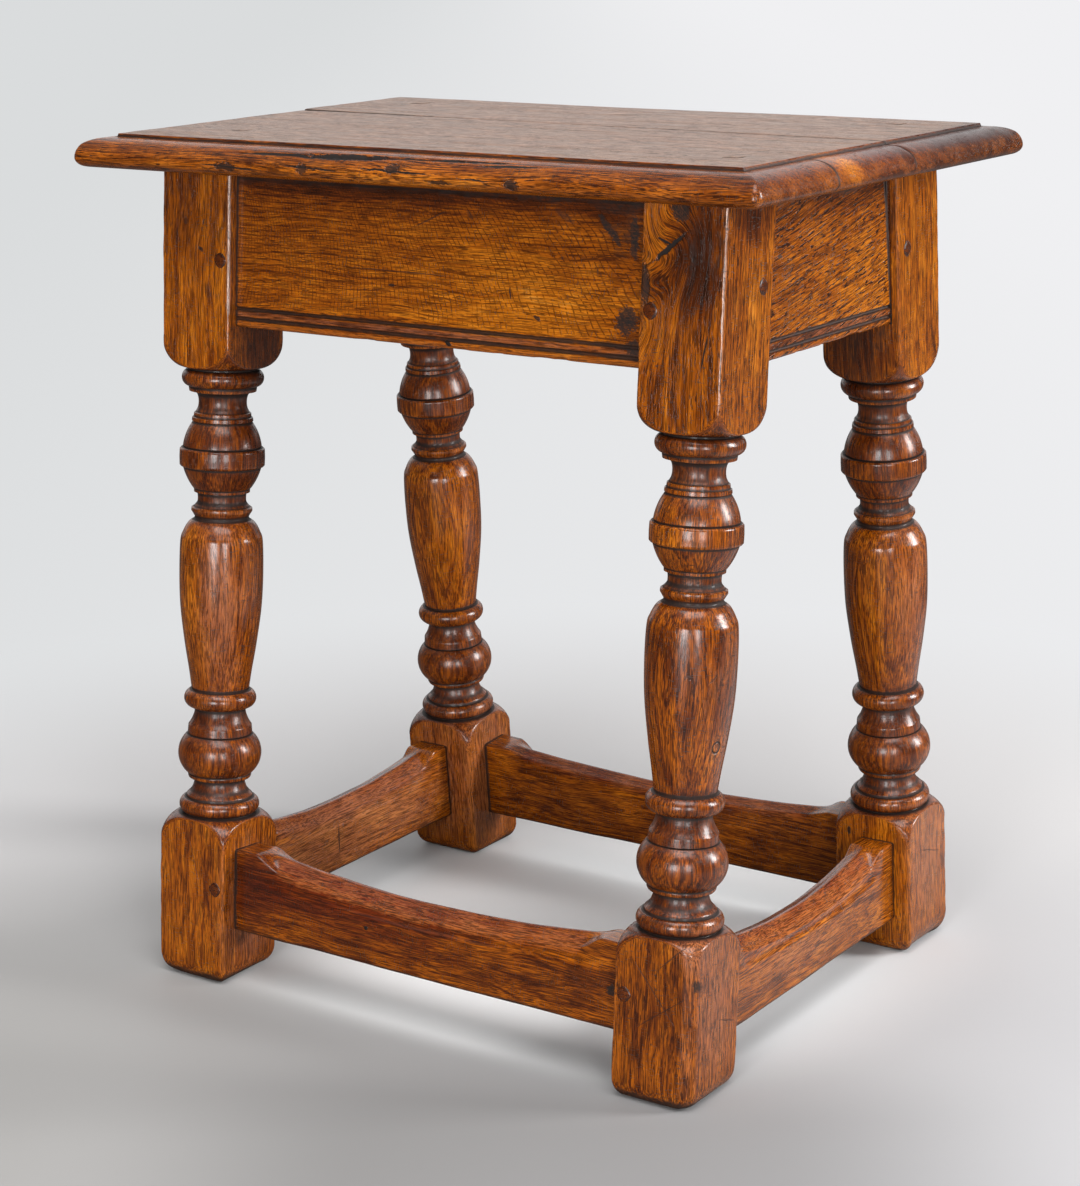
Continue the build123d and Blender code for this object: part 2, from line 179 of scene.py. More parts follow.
def curve_through(points: list, count: int) -> np.ndarray:
    """Points on a smooth curve through given points.

    Args:
        points: Points the curve goes through, in order.
        count: How many points to give between each two.

    Returns:
        The points in order, as rows of two numbers.
    """
    knots = np.array(points, dtype=float)
    padded = np.vstack([2 * knots[0] - knots[1], knots, 2 * knots[-1] - knots[-2]])
    step = np.linspace(0.0, 1.0, count, endpoint=False)[:, None]
    pieces = []
    for before, start, end, after in zip(padded[:-3], padded[1:-2], padded[2:-1], padded[3:]):
        lead = (end - before) / 2
        leave = (after - start) / 2
        square = step**2
        cube = step**3
        pieces.append(
            (2 * cube - 3 * square + 1) * start
            + (cube - 2 * square + step) * lead
            + (3 * square - 2 * cube) * end
            + (cube - square) * leave
        )
    return np.vstack(pieces + [knots[-1:]])


@dataclass(frozen=True)
class Grit:
    """Smooth random field in space, the same on every run.

    Args:
        seed: Number that tells one field from another.
    """

    seed: int

    def lattice(self, x: np.ndarray, y: np.ndarray, z: np.ndarray) -> np.ndarray:
        """Random value at each whole-numbered place.

        Args:
            x: First number of each place.
            y: Second number.
            z: Third number.

        Returns:
            The values, from -1 to 1.
        """
        mixed = x * 374761393 + y * 668265263 + z * 2147483647 + self.seed * 1274126177
        mixed = (mixed ^ (mixed >> 13)) * 1103515245
        mixed = (mixed ^ (mixed >> 16)) & 0xFFFF
        return mixed / 32767.5 - 1.0

    def soft(self, place: np.ndarray, size: tuple) -> np.ndarray:
        """Smooth random value at each place.

        Args:
            place: Places in millimetres, as rows of three numbers.
            size: Millimetres between independent values along each direction.

        Returns:
            One value from -1 to 1 for each place.
        """
        cell = place / np.array(size, dtype=float)
        low = np.floor(cell)
        part = cell - low
        part = part * part * (3.0 - 2.0 * part)
        x, y, z = low.astype(np.int64).T
        total = np.zeros(len(place))
        for dx in (0, 1):
            for dy in (0, 1):
                for dz in (0, 1):
                    weight = np.abs(1 - dx - part[:, 0])
                    weight = weight * np.abs(1 - dy - part[:, 1])
                    weight = weight * np.abs(1 - dz - part[:, 2])
                    total += weight * self.lattice(x + dx, y + dy, z + dz)
        return total

    def rough(self, place: np.ndarray, size: tuple, layers: int = 3) -> np.ndarray:
        """Smooth random value with finer and finer layers on it.

        Args:
            place: Places in millimetres, as rows of three numbers.
            size: Size of the coarsest layer along each direction.
            layers: How many layers there are, each half the size of the one before.

        Returns:
            One value for each place, mostly from -1 to 1.
        """
        total = np.zeros(len(place))
        strength = 1.0
        scale = np.array(size, dtype=float)
        for _ in range(layers):
            total += strength * self.soft(place + 17.3 * strength, tuple(scale))
            strength *= 0.5
            scale = scale / 2.0
        return total


# ---- colours


def paint(red: int, green: int, blue: int) -> tuple:
    """Colour for a shader from the eight-bit values of a paint card.

    Args:
        red: Red, from 0 to 255.
        green: Green.
        blue: Blue.

    Returns:
        The linear colour, opaque.
    """
    parts = [value / 255 for value in (red, green, blue)]
    linear = [p / 12.92 if p <= 0.04045 else ((p + 0.055) / 1.055) ** 2.4 for p in parts]
    return (*linear, 1.0)


DARKEST_OAK, PALEST_OAK = paint(36, 14, 4), paint(224, 148, 54)
BROWN_OAK, WARM_OAK, GOLDEN_OAK = paint(98, 43, 7), paint(158, 81, 9), paint(200, 116, 22)
RED_STAIN = paint(126, 38, 14)
BLOOM = paint(150, 92, 66)
HANDLED = paint(184, 104, 40)
RUBBED_BARE_AND_GLINT = paint(196, 170, 154)
DRY_WAX_AND_SHEEN = paint(168, 142, 118)
OPEN_PORE = paint(40, 16, 5)
DIRT_AND_SHADE = paint(22, 11, 6)

# ---- what a piece of wood is made of


@dataclass(frozen=True)
class Cloud:
    """Soft patch of other colour on a piece, or a dent in it.

    Args:
        centre: Place of its middle: along the grain, across it, through it.
        spread: How far it reaches in each of those directions.
        tone: Change of tone at the middle, from dark to golden.
        red: Change of redness.
        worn: Change of wear.
        grime: Change of grime; some patches use it as painted shade.
        blush: Change of the pinkish bloom where the polish is worn thin.
        sink: Depth of the dent at the middle.
    """

    centre: tuple
    spread: tuple
    tone: float = 0.0
    red: float = 0.0
    worn: float = 0.0
    grime: float = 0.0
    blush: float = 0.0
    sink: float = 0.0

    def weight(self, place: np.ndarray) -> np.ndarray:
        """How strongly the patch shows at each place."""
        away = (place - np.array(self.centre)) / np.array(self.spread)
        return np.exp(-np.sum(away**2, axis=1))


@dataclass(frozen=True)
class Mark:
    """Sharp mark on a piece: a crack, gouge, stain or scratch.

    Args:
        start: Place of one end on the face, or in all three directions.
        end: Place of the other end.
        width: Half its width.
        harm: What it does to the wood.
        face: Surface that it is on.
        ragged: How uneven its outline is.
        hollow: 1 where only its outline shows.
    """

    start: tuple
    end: tuple
    width: float
    harm: Harm
    face: Face
    ragged: float = 0.5
    hollow: float = 0.0

    def sockets(self) -> dict:
        """Where and how large the mark is, by the names of the mark group's inputs.

        Returns:
            The value of each input.
        """
        start, end = self.face.lift(self.start), self.face.lift(self.end)
        along = (end - start).normalized()
        return {
            "centre": (start + end) / 2,
            "along": along,
            "across": self.face.normal.cross(along).normalized(),
            "length": (end - start).length / 2,
            "width": self.width,
            "ragged": self.ragged,
            "hollow": self.hollow,
        }


@dataclass(frozen=True)
class Knot:
    """Knot that the grain bends round.

    Args:
        centre: Place of its middle: along the grain, across it, through it.
        reach: How far the grain is bent.
        swirl: How far the grain turns at the middle, in radians.
    """

    centre: tuple
    reach: float
    swirl: float


@dataclass
class Timber:
    """Mesh of one piece of wood with its vertex fields, before it becomes an object.

    Args:
        points: Vertices in the stool's frame.
        place: Place of each vertex in its own stick.
        faces: Lists of vertex numbers.
    """

    points: np.ndarray
    place: np.ndarray
    faces: list
    grain: np.ndarray = field(init=False)
    worn: np.ndarray = field(init=False)
    grime: np.ndarray = field(init=False)
    blush: np.ndarray = field(init=False)
    tone: np.ndarray = field(init=False)
    red: np.ndarray = field(init=False)
    dull: np.ndarray = field(init=False)

    def __post_init__(self) -> None:
        """Start every field plain."""
        self.grain = self.place.copy()
        for name in ("worn", "grime", "blush", "red", "dull"):
            setattr(self, name, np.zeros(len(self.points)))
        self.tone = np.full(len(self.points), 0.5)

    def tint(self, clouds: tuple) -> None:
        """Lay soft patches of colour on the piece.

        Args:
            clouds: The patches.
        """
        for cloud in clouds:
            weight = cloud.weight(self.place)
            for name in ("tone", "red", "worn", "grime", "blush"):
                setattr(self, name, getattr(self, name) + getattr(cloud, name) * weight)

    def bend_grain(self, knots: tuple) -> None:
        """Turn the grain round each knot.

        Args:
            knots: The knots.
        """
        for knot in knots:
            away = self.grain - np.array(knot.centre)
            reach = np.sqrt(away[:, 0] ** 2 * 0.5 + away[:, 1] ** 2 + away[:, 2] ** 2)
            turn = knot.swirl * np.exp(-((reach / knot.reach) ** 2))
            along = away[:, 0] * np.cos(turn) - away[:, 1] * np.sin(turn)
            across = away[:, 0] * np.sin(turn) + away[:, 1] * np.cos(turn)
            self.grain[:, 0] = knot.centre[0] + along
            self.grain[:, 1] = knot.centre[1] + across

    def make(self, node: str, slot: str, finish: "Oak") -> bpy.types.Object:
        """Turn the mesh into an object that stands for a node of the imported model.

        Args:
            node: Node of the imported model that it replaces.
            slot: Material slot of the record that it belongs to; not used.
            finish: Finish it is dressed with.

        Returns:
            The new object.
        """
        name = f"oak_{node}"
        mesh = bpy.data.meshes.new(name)
        mesh.from_pydata((self.points * MM).tolist(), [], self.faces)
        mesh.validate()
        mesh.shade_smooth()
        mesh.set_sharp_from_angle(angle=math.radians(50))
        fields = {
            "place": self.place,
            "grain": self.grain,
            "handling": np.stack([self.worn, self.grime, self.blush], axis=1),
            "colouring": np.stack([self.tone, self.red, self.dull], axis=1),
        }
        for field_name, values in fields.items():
            layer = mesh.attributes.new(field_name, "FLOAT_VECTOR", "POINT")
            layer.data.foreach_set("vector", np.ascontiguousarray(values).ravel())
        piece = bpy.data.objects.new(name, mesh)
        bpy.context.scene.collection.objects.link(piece)
        mesh.materials.append(finish.material())
        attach(piece, "root")
        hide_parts(node)
        LOG.info("%s: %d faces", name, len(mesh.polygons))
        return piece


def sleeve_faces(rows: int, columns: int, first: int = 0) -> list:
    """Faces of a closed sleeve of rings, with both ends shut.

    Args:
        rows: How many rings there are.
        columns: How many points each ring has.
        first: Number of the first vertex.

    Returns:
        Lists of vertex numbers.
    """
    row = np.arange(rows - 1)[:, None] * columns
    column = np.arange(columns)[None, :]
    beside = (column + 1) % columns
    quads = np.stack(
        [row + column, row + beside, row + columns + beside, row + columns + column], axis=-1
    )
    faces = (quads.reshape(-1, 4) + first).tolist()
    faces.append([first + k for k in range(columns)][::-1])
    faces.append([first + (rows - 1) * columns + k for k in range(columns)])
    return faces


# ---- shader building


class Bench:
    """Adds nodes to one node tree and joins them up."""

    def __init__(self, tree: bpy.types.NodeTree) -> None:
        """Keep the tree."""
        self.tree = tree

    def node(self, kind: str, *values: object, **settings: object) -> bpy.types.Node:
        """Add a node, set its plain properties and feed its inputs.

        Args:
            kind: Blender's name for the kind of node.
            values: Source or value of each input in order; None leaves an input alone.
            settings: Plain properties of the node.

        Returns:
            The new node.
        """
        made = self.tree.nodes.new(kind)
        for name, setting in settings.items():
            setattr(made, name, setting)
        for socket, value in zip(made.inputs, values):
            self.feed(socket, value)
        return made

    def feed(self, socket: Socket, value: object) -> None:
        """Link an input to its source, or set its own value.

        Args:
            socket: The input.
            value: Source to link, value to set, or None to leave the input alone.
        """
        if isinstance(value, Socket):
            self.tree.links.new(value, socket)
        elif value is not None:
            socket.default_value = value

    def math(self, operation: str, *values: object, clamp: bool = False) -> Socket:
        """Plain sum of one to three numbers, by the name of its operation."""
        return self.node("ShaderNodeMath", *values, operation=operation, use_clamp=clamp).outputs[0]

    def add(self, one: object, other: object) -> Socket:
        """Sum of two numbers."""
        return self.math("ADD", one, other)

    def sub(self, one: object, other: object) -> Socket:
        """Difference of two numbers."""
        return self.math("SUBTRACT", one, other)

    def mul(self, one: object, other: object, clamp: bool = False) -> Socket:
        """Product of two numbers."""
        return self.math("MULTIPLY", one, other, clamp=clamp)

    def mad(self, *values: object, clamp: bool = False) -> Socket:
        """Product of the first two numbers, plus the third."""
        return self.math("MULTIPLY_ADD", *values, clamp=clamp)

    def div(self, one: object, other: object) -> Socket:
        """Quotient of two numbers."""
        return self.math("DIVIDE", one, other)

    def most(self, one: object, other: object) -> Socket:
        """Larger of two numbers."""
        return self.math("MAXIMUM", one, other)

    def vector(self, operation: str, *values: object) -> Socket:
        """Plain sum of vectors; a dot product or length is a number."""
        made = self.node("ShaderNodeVectorMath", *values, operation=operation)
        return made.outputs["Value" if operation in ("DOT_PRODUCT", "LENGTH") else "Vector"]

    def split(self, value: Socket) -> tuple:
        """The three numbers of a vector."""
        return tuple(self.node("ShaderNodeSeparateXYZ", value).outputs)

    def join(self, *numbers: object) -> Socket:
        """A vector of three numbers."""
        return self.node("ShaderNodeCombineXYZ", *numbers).outputs[0]

    def step(self, value: object, low: object, high: object) -> Socket:
        """Smooth step from 0 at low to 1 at high."""
        made = self.node("ShaderNodeMapRange", value, low, high, interpolation_type="SMOOTHSTEP")
        return made.outputs[0]

    def stir(self, level: Socket, mask: Socket, amount: float) -> Socket:
        """Add a mask to a level so that the middle of the mask leaves the level as it was."""
        return self.add(level, self.mad(mask, amount, -amount / 2))

    def noise(self, place: object, scale: object, detail: float = 0.0) -> Socket:
        """Smooth noise of a place that is first scaled along each direction."""
        scaled = self.vector("MULTIPLY", place, scale)
        return self.node("ShaderNodeTexNoise", scaled, None, 1.0, detail).outputs["Fac"]

    def blend(self, amount: object, under: object, over: object) -> Socket:
        """Colour between two others. The mix node's inputs for other kinds are left alone."""
        values = (amount, *[None] * 5, under, over)
        return self.node("ShaderNodeMix", *values, data_type="RGBA").outputs[2]

    def field(self, name: str) -> Socket:
        """One of the piece's own vertex fields."""
        return self.node("ShaderNodeAttribute", attribute_name=name).outputs["Vector"]

    def place_group(self, group: bpy.types.NodeTree, **values: object) -> SocketsByName:
        """Place a node group and feed its inputs.

        Args:
            group: The group.
            values: Source or value of each input, by its name in lower case with underscores.

        Returns:
            The outputs of the placed group, by name.
        """
        made = self.node("ShaderNodeGroup", node_tree=group)
        for name, value in values.items():
            self.feed(made.inputs[name.replace("_", " ").title()], value)
        return made.outputs


def new_group(name: str, inputs: dict, outputs: tuple) -> tuple:
    """Start a shader node group with named sockets.

    Args:
        name: Name of the group.
        inputs: Socket kind of each input, by name.
        outputs: Name of each output; every one is a number.

    Returns:
        The group, a bench for it, what its inputs bring and what its outputs take.
    """
    tree = bpy.data.node_groups.new(name, "ShaderNodeTree")
    for label, kind in inputs.items():
        tree.interface.new_socket(name=label, in_out="INPUT", socket_type=f"NodeSocket{kind}")
    for label in outputs:
        tree.interface.new_socket(name=label, in_out="OUTPUT", socket_type="NodeSocketFloat")
    bench = Bench(tree)
    return tree, bench, bench.node("NodeGroupInput").outputs, bench.node("NodeGroupOutput").inputs


def grain_group() -> bpy.types.NodeTree:
    """Figure of oak: growth rings, the open pores that lie along them and long streaks.

    Returns:
        The node group.
    """
    tree, bench, given, result = new_group(
        "oak grain",
        {
            "Grain": "Vector",
            "Pith": "Vector",
            "Ring Width": "Float",
            "Dash Length": "Float",
            "Dash Width": "Float",
        },
        ("Rings", "Pores", "Fine Pores", "Streaks", "Fibres"),
    )
    grain = given["Grain"]
    slow = bench.vector("MULTIPLY", grain, (0.011, 0.035, 0.035))
    bend = bench.node("ShaderNodeTexNoise", slow, None, 1.0, 1.0).outputs["Color"]
    centred = bench.vector("SUBTRACT", bend, (0.5, 0.5, 0.5))
    wandering = bench.vector("ADD", grain, bench.vector("MULTIPLY", centred, (0.0, 9.0, 9.0)))
    from_pith = bench.vector("SUBTRACT", wandering, given["Pith"])
    radius = bench.vector("LENGTH", bench.vector("MULTIPLY", from_pith, (0.0, 1.0, 1.0)))
    ring = bench.div(radius, given["Ring Width"])
    uneven = bench.noise(wandering, (0.004, 0.12, 0.12), 1.0)
    ring = bench.add(ring, bench.mul(uneven, 2.2))
    phase = bench.math("FRACT", ring)
    rise = bench.step(phase, 0.0, 0.28)
    fall = bench.step(phase, 1.0, 0.82)
    late = bench.mul(rise, fall)
    bench.feed(result["Rings"], late)

    along, across, through = bench.split(wandering)
    short = bench.div(along, given["Dash Length"])
    across = bench.div(across, given["Dash Width"])
    through = bench.div(through, given["Dash Width"])
    dash_place = bench.join(short, across, through)
    dashes = bench.noise(dash_place, (0.9, 1.6, 1.6), 1.0)
    edge = bench.mad(late, 0.06, 0.53)
    pores = bench.step(dashes, edge, bench.add(edge, 0.05))
    bench.feed(result["Pores"], pores)
    fine = bench.noise(dash_place, (1.3, 2.6, 2.6), 0.0)
    bench.feed(result["Fine Pores"], bench.step(fine, 0.56, 0.66))
    streaks = bench.noise(wandering, (0.035, 1.5, 1.5), 2.0)
    bench.feed(result["Streaks"], streaks)
    fibres = bench.noise(wandering, (0.06, 2.1, 2.1), 0.5)
    bench.feed(result["Fibres"], bench.step(fibres, 0.52, 0.59))
    return tree


def fleck_group() -> bpy.types.NodeTree:
    """Ray figure and old saw lines that cross the grain of a wide board.

    Returns:
        The node group.
    """
    tree, bench, given, result = new_group(
        "cross fleck",
        {"Grain": "Vector", "Slant": "Float", "Middle": "Float", "Pitch": "Float"},
        ("Lines",),
    )
    along, across, _ = bench.split(given["Grain"])
    across = bench.sub(across, given["Middle"])
    slant = bench.mad(along, 0.0028, given["Slant"])
    lean = bench.mul(across, slant)
    bow = bench.mul(bench.mul(across, across), 0.004)
    shifted = bench.add(bench.add(along, lean), bow)
    crowded = bench.mul(bench.mul(shifted, shifted), -0.00145)
    shifted = bench.add(shifted, crowded)
    sway = bench.noise(given["Grain"], (0.03, 0.05, 0.05), 1.0)
    shifted = bench.mad(sway, 7.0, shifted)
    turns = bench.div(shifted, given["Pitch"])
    wave = bench.math("SINE", bench.mul(turns, 2 * math.pi))
    patchy = bench.noise(given["Grain"], (0.035, 0.06, 0.06), 2.0)
    broken = bench.noise(given["Grain"], (0.25, 0.8, 0.8), 1.0)
    lines = bench.step(wave, 0.55, 0.9)
    lines = bench.mul(lines, bench.step(patchy, 0.26, 0.5))
    lines = bench.mul(lines, bench.step(broken, 0.36, 0.5))
    lines = bench.mul(lines, bench.step(across, -33.0, -31.0))
    bench.feed(result["Lines"], lines)
    return tree


def handling_group() -> bpy.types.NodeTree:
    """Wear, grime with painted shade, and bloom, broken up so that they follow the open grain.

    Returns:
        The node group.
    """
    tree, bench, given, result = new_group(
        "handling",
        {"Place": "Vector", "Handling": "Vector"},
        ("Worn", "Grime", "Blush", "Cloud"),
    )
    worn, grime, blush = bench.split(given["Handling"])
    place = given["Place"]
    coarse = bench.noise(place, (0.05, 0.11, 0.11), 3.0)
    small = bench.noise(place, (0.25, 0.6, 0.6), 2.0)
    both = bench.add(bench.mul(coarse, 0.6), bench.mul(small, 0.5))
    for name, amount, low, high in (
        ("Worn", worn, 0.65, 1.05),
        ("Grime", grime, 0.62, 1.15),
        ("Blush", blush, 0.55, 1.2),
    ):
        ready = bench.step(bench.add(amount, both), low, high)
        ready = bench.mul(ready, bench.step(amount, 0.0, 0.15))
        bench.feed(result[name], ready)
    bench.feed(result["Cloud"], coarse)
    return tree


def mark_group() -> bpy.types.NodeTree:
    """One crack, gouge, stain or scratch at a named place.

    Returns:
        The node group.
    """
    kinds = {"Place": "Vector", "Centre": "Vector", "Along": "Vector", "Across": "Vector"}
    for name in ("Length", "Width", "Ragged", "Hollow", "Wander", "Fray"):
        kinds[name] = "Float"
    tree, bench, given, result = new_group("mark", kinds, ("Mask",))
    away = bench.vector("SUBTRACT", given["Place"], given["Centre"])
    facing = bench.vector("CROSS_PRODUCT", given["Along"], given["Across"])
    along = bench.vector("DOT_PRODUCT", away, given["Along"])
    across = bench.vector("DOT_PRODUCT", away, given["Across"])
    through = bench.vector("DOT_PRODUCT", away, facing)
    sway = bench.mul(given["Wander"], given["Ragged"])
    reach = bench.div(along, given["Length"])
    aside = bench.mad(sway, 3.0, across)
    aside = bench.div(aside, given["Width"])
    inside = bench.div(through, 7.0)
    square = [bench.mul(part, part) for part in (reach, aside, inside)]
    total = bench.add(bench.add(square[0], square[1]), square[2])
    total = bench.mad(given["Fray"], given["Ragged"], total)
    mask = bench.step(total, 1.15, 0.6)
    middle = bench.mul(bench.step(total, 0.6, 0.3), given["Hollow"])
    bench.feed(result["Mask"], bench.sub(mask, middle))
    return tree


def nick_group() -> bpy.types.NodeTree:
    """Small dark nicks and worm specks, and short ticks across the grain, unevenly scattered.

    Returns:
        The node group.
    """
    tree, bench, given, result = new_group(
        "nicks",
        {"Place": "Vector", "Amount": "Float"},
        ("Nicks", "Dents", "Ticks"),
    )
    place = given["Place"]
    spaced = bench.vector("MULTIPLY", place, (0.06, 0.16, 0.16))
    cells = bench.node("ShaderNodeTexVoronoi", spaced, None, 1.0)
    chance = bench.split(cells.outputs["Color"])[0]
    few = bench.step(chance, bench.sub(1.0, given["Amount"]), 1.0)
    size = bench.mul(few, 0.13)
    spot = bench.step(cells.outputs["Distance"], size, bench.mul(size, 0.5))
    bench.feed(result["Nicks"], bench.mul(spot, bench.step(few, 0.0, 0.1)))
    bench.feed(result["Dents"], bench.noise(place, (0.06, 0.14, 0.14), 2.0))
    ticks = bench.step(bench.noise(place, (1.3, 0.3, 0.3), 1.0), 0.61, 0.67)
    where = bench.step(bench.noise(place, (0.05, 0.07, 0.07), 1.0), 0.42, 0.6)
    bench.feed(result["Ticks"], bench.mul(ticks, where))
    return tree


@dataclass(frozen=True)
class Oak:
    """Waxed old oak, as one stick or board shows it.

    Args:
        name: Name of the finish.
        pith: Where the heart of the tree lay: along, across and through the piece.
        ring_width: Width of a year's growth.
        dash_length: How long the open pores show.
        dash_width: How wide they show, as a share of the usual.
        pores: Strength of the open pores.
        streaks: Strength of the long streaks.
        depth: Change of tone over the whole piece.
        fleck: Strength of the lines across the grain.
        fleck_slant: How far those lines lean at the middle of the board.
        fleck_middle: Place across the grain where their lean turns.
        fleck_pitch: Millimetres from one such line to the next.
        nicks: Share of the surface that has small nicks.
        ticks: Strength of the short ticks across the grain.
        roughness: Roughness of the waxed surface.
        coat: Strength of the polish over the wax.
        coat_roughness: Roughness of the polish.
        top_coat: Strength of the polish that a worn seat top has besides.
        marks: Sharp marks at named places.
    """

    name: str
    pith: tuple = (0.0, 40.0, 60.0)
    ring_width: float = 3.2
    dash_length: float = 7.0
    dash_width: float = 1.0
    pores: float = 0.7
    streaks: float = 1.0
    depth: float = 0.0
    fleck: float = 0.0
    fleck_slant: float = 0.38
    fleck_middle: float = 452.0
    fleck_pitch: float = 3.1
    nicks: float = 0.08
    ticks: float = 0.5
    roughness: float = 0.2
    coat: float = 0.2
    coat_roughness: float = 0.12
    top_coat: float = 0.0
    marks: tuple = ()

    def material(self) -> bpy.types.Material:
        """Build the shader of this finish.

        Returns:
            The new material.
        """
        made = bpy.data.materials.new(self.name)
        made.use_nodes = True
        made.node_tree.nodes.clear()
        bench = Bench(made.node_tree)
        place, grain = bench.field("place"), bench.field("grain")
        figure = bench.place_group(
            GROUPS["grain"],
            grain=grain,
            pith=self.pith,
            ring_width=self.ring_width,
            dash_length=self.dash_length,
            dash_width=self.dash_width,
        )
        handling = bench.field("handling")
        handled = bench.place_group(GROUPS["handling"], place=place, handling=handling)
        nicked = bench.place_group(GROUPS["nicks"], place=place, amount=self.nicks)
        dull = bench.split(bench.field("colouring"))[2]
        dry_and_sheen = bench.step(dull, 0.9, 1.3)
        dark = self.open_grain(bench, figure, grain)
        dirt_harm_and_shade, sinking = self.harm(bench, figure, handled, nicked, place)
        colour = bench.blend(dark, self.wood_colour(bench, figure, handled, dry_and_sheen), OPEN_PORE)
        # Dirt, and the painted shade carried in the grime field, darken the wood towards one dark
        # colour.
        colour = bench.blend(dirt_harm_and_shade, colour, DIRT_AND_SHADE)

        height = bench.mul(nicked["Dents"], 0.22)
        height = bench.mad(figure["Streaks"], 0.03, height)
        height = bench.mad(nicked["Nicks"], -0.3, height)
        height = bench.sub(height, sinking)
        bump = bench.node("ShaderNodeBump")
        bump.inputs["Strength"].default_value = 1.0
        bump.inputs["Distance"].default_value = MM
        bench.feed(bump.inputs["Height"], height)

        rough = bench.mad(dirt_harm_and_shade, 0.4, self.roughness)
        rough = bench.mad(dull, 0.2, rough)
        rough = bench.mad(handled["Worn"], -0.04, rough)
        shader = bench.node("ShaderNodeBsdfPrincipled")
        bench.feed(shader.inputs["Base Color"], colour)
        bench.feed(shader.inputs["Roughness"], bench.stir(rough, handled["Cloud"], 0.16))
        bench.feed(shader.inputs["Normal"], bump.outputs[0])
        shader.inputs["IOR"].default_value = 1.45
        shader.inputs["Specular IOR Level"].default_value = 0.45
        shader.inputs["Coat Weight"].default_value = self.coat
        shader.inputs["Coat Roughness"].default_value = self.coat_roughness
        if self.top_coat:
            streaky = bench.step(bench.noise(place, (0.007, 0.11, 0.11), 3.0), 0.42, 0.72)
            whole = bench.mad(streaky, -0.7, bench.sub(1.15, dark), clamp=True)
            polished = bench.mul(bench.mul(dry_and_sheen, whole), self.top_coat)
            bench.feed(shader.inputs["Coat Weight"], polished)
        bench.node("ShaderNodeOutputMaterial", shader.outputs[0])
        return made

    def wood_colour(
        self, bench: Bench, figure: SocketsByName, handled: SocketsByName, dry_and_sheen: Socket
    ) -> Socket:
        """Colour of the wood between its pores, as use and polish have left it.

        Args:
            bench: Bench of the material.
            figure: What the grain group gives.
            handled: What the handling group gives.
            dry_and_sheen: Where the wax has dried out; on the seat top its pale colour is also a
                painted sheen.

        Returns:
            The colour.
        """
        tone, red, _ = bench.split(bench.field("colouring"))
        level = bench.stir(bench.add(tone, self.depth), figure["Streaks"], 0.7 * self.streaks)
        level = bench.stir(level, figure["Rings"], 0.16 * self.streaks)
        level = bench.stir(level, handled["Cloud"], 0.5)
        ramp = bench.node("ShaderNodeValToRGB", level)
        stops = ramp.color_ramp.elements
        stops[0].color, stops[1].color = DARKEST_OAK, PALEST_OAK
        for where, shade in ((0.3, BROWN_OAK), (0.55, WARM_OAK), (0.8, GOLDEN_OAK)):
            stops.new(where).color = shade
        colour = bench.blend(bench.mul(red, 0.6, clamp=True), ramp.outputs[0], RED_STAIN)
        colour = bench.blend(bench.mul(handled["Blush"], 0.62), colour, BLOOM)
        colour = bench.blend(bench.mul(handled["Worn"], 0.42), colour, HANDLED)
        worn = bench.split(bench.field("handling"))[0]
        # Where wear runs highest, along the worn front right arrises, the wood turns pale: wear and
        # a painted highlight together.
        rubbed_and_glint = bench.step(bench.mad(handled["Cloud"], 1.4, worn), 2.15, 2.85)
        colour = bench.blend(bench.mul(rubbed_and_glint, 0.62), colour, RUBBED_BARE_AND_GLINT)
        # Dried wax lightens the wood to a pale grey-tan, which on the seat top is also a painted
        # sheen.
        return bench.blend(bench.mul(dry_and_sheen, 0.48), colour, DRY_WAX_AND_SHEEN)

    def open_grain(self, bench: Bench, figure: SocketsByName, grain: Socket) -> Socket:
        """How dark the open pores, the fibres and the lines across the grain are.

        Args:
            bench: Bench of the material.
            figure: What the grain group gives.
            grain: The piece's grain field.

        Returns:
            The darkness, from 0 to 1.
        """
        dark = bench.mul(figure["Pores"], 0.95 * self.pores)
        dark = bench.most(dark, bench.mul(figure["Fibres"], 0.72 * self.streaks))
        dark = bench.most(dark, bench.mul(figure["Fine Pores"], 0.55 * self.pores))
        if self.fleck > 0:
            crossed = bench.place_group(
                GROUPS["fleck"],
                grain=grain,
                slant=self.fleck_slant,
                middle=self.fleck_middle,
                pitch=self.fleck_pitch,
            )
            dark = bench.most(dark, bench.mul(crossed["Lines"], self.fleck))
        return dark

    def harm(
        self,
        bench: Bench,
        figure: SocketsByName,
        handled: SocketsByName,
        nicked: SocketsByName,
        place: Socket,
    ) -> tuple:
        """Dirt, damage and painted shade: grime, nicks, ticks and the marks at named places.

        Args:
            bench: Bench of the material.
            figure: What the grain group gives.
            handled: What the handling group gives.
            nicked: What the nick group gives.
            place: The piece's place field.

        Returns:
            How dark the dirt and painted shade are and how deep the surface sinks, in millimetres.
        """
        dirt_harm_and_shade = bench.most(bench.mul(handled["Grime"], 0.9), bench.mul(nicked["Nicks"], 0.85))
        dirt_harm_and_shade = bench.most(dirt_harm_and_shade, bench.mul(nicked["Ticks"], self.ticks))
        sinking = bench.mul(figure["Pores"], 0.035)
        wander = bench.sub(bench.noise(place, (0.16, 0.16, 0.16), 2.0), 0.5)
        fray = bench.mad(bench.noise(place, (0.6, 0.9, 0.9), 1.0), 1.8, -0.9)
        for mark in self.marks:
            shade, deep = mark.harm.value
            mask = bench.place_group(
                GROUPS["mark"], place=place, wander=wander, fray=fray, **mark.sockets()
            )["Mask"]
            strength = shade if deep else bench.mad(fray, 0.45, shade)
            dirt_harm_and_shade = bench.most(dirt_harm_and_shade, bench.mul(mask, strength, clamp=True))
            if deep:
                sinking = bench.most(sinking, bench.mul(mask, deep))
        return dirt_harm_and_shade, sinking


GROUPS = {
    "grain": grain_group(),
    "fleck": fleck_group(),
    "handling": handling_group(),
    "mark": mark_group(),
    "nicks": nick_group(),
}


# ---- where things stand


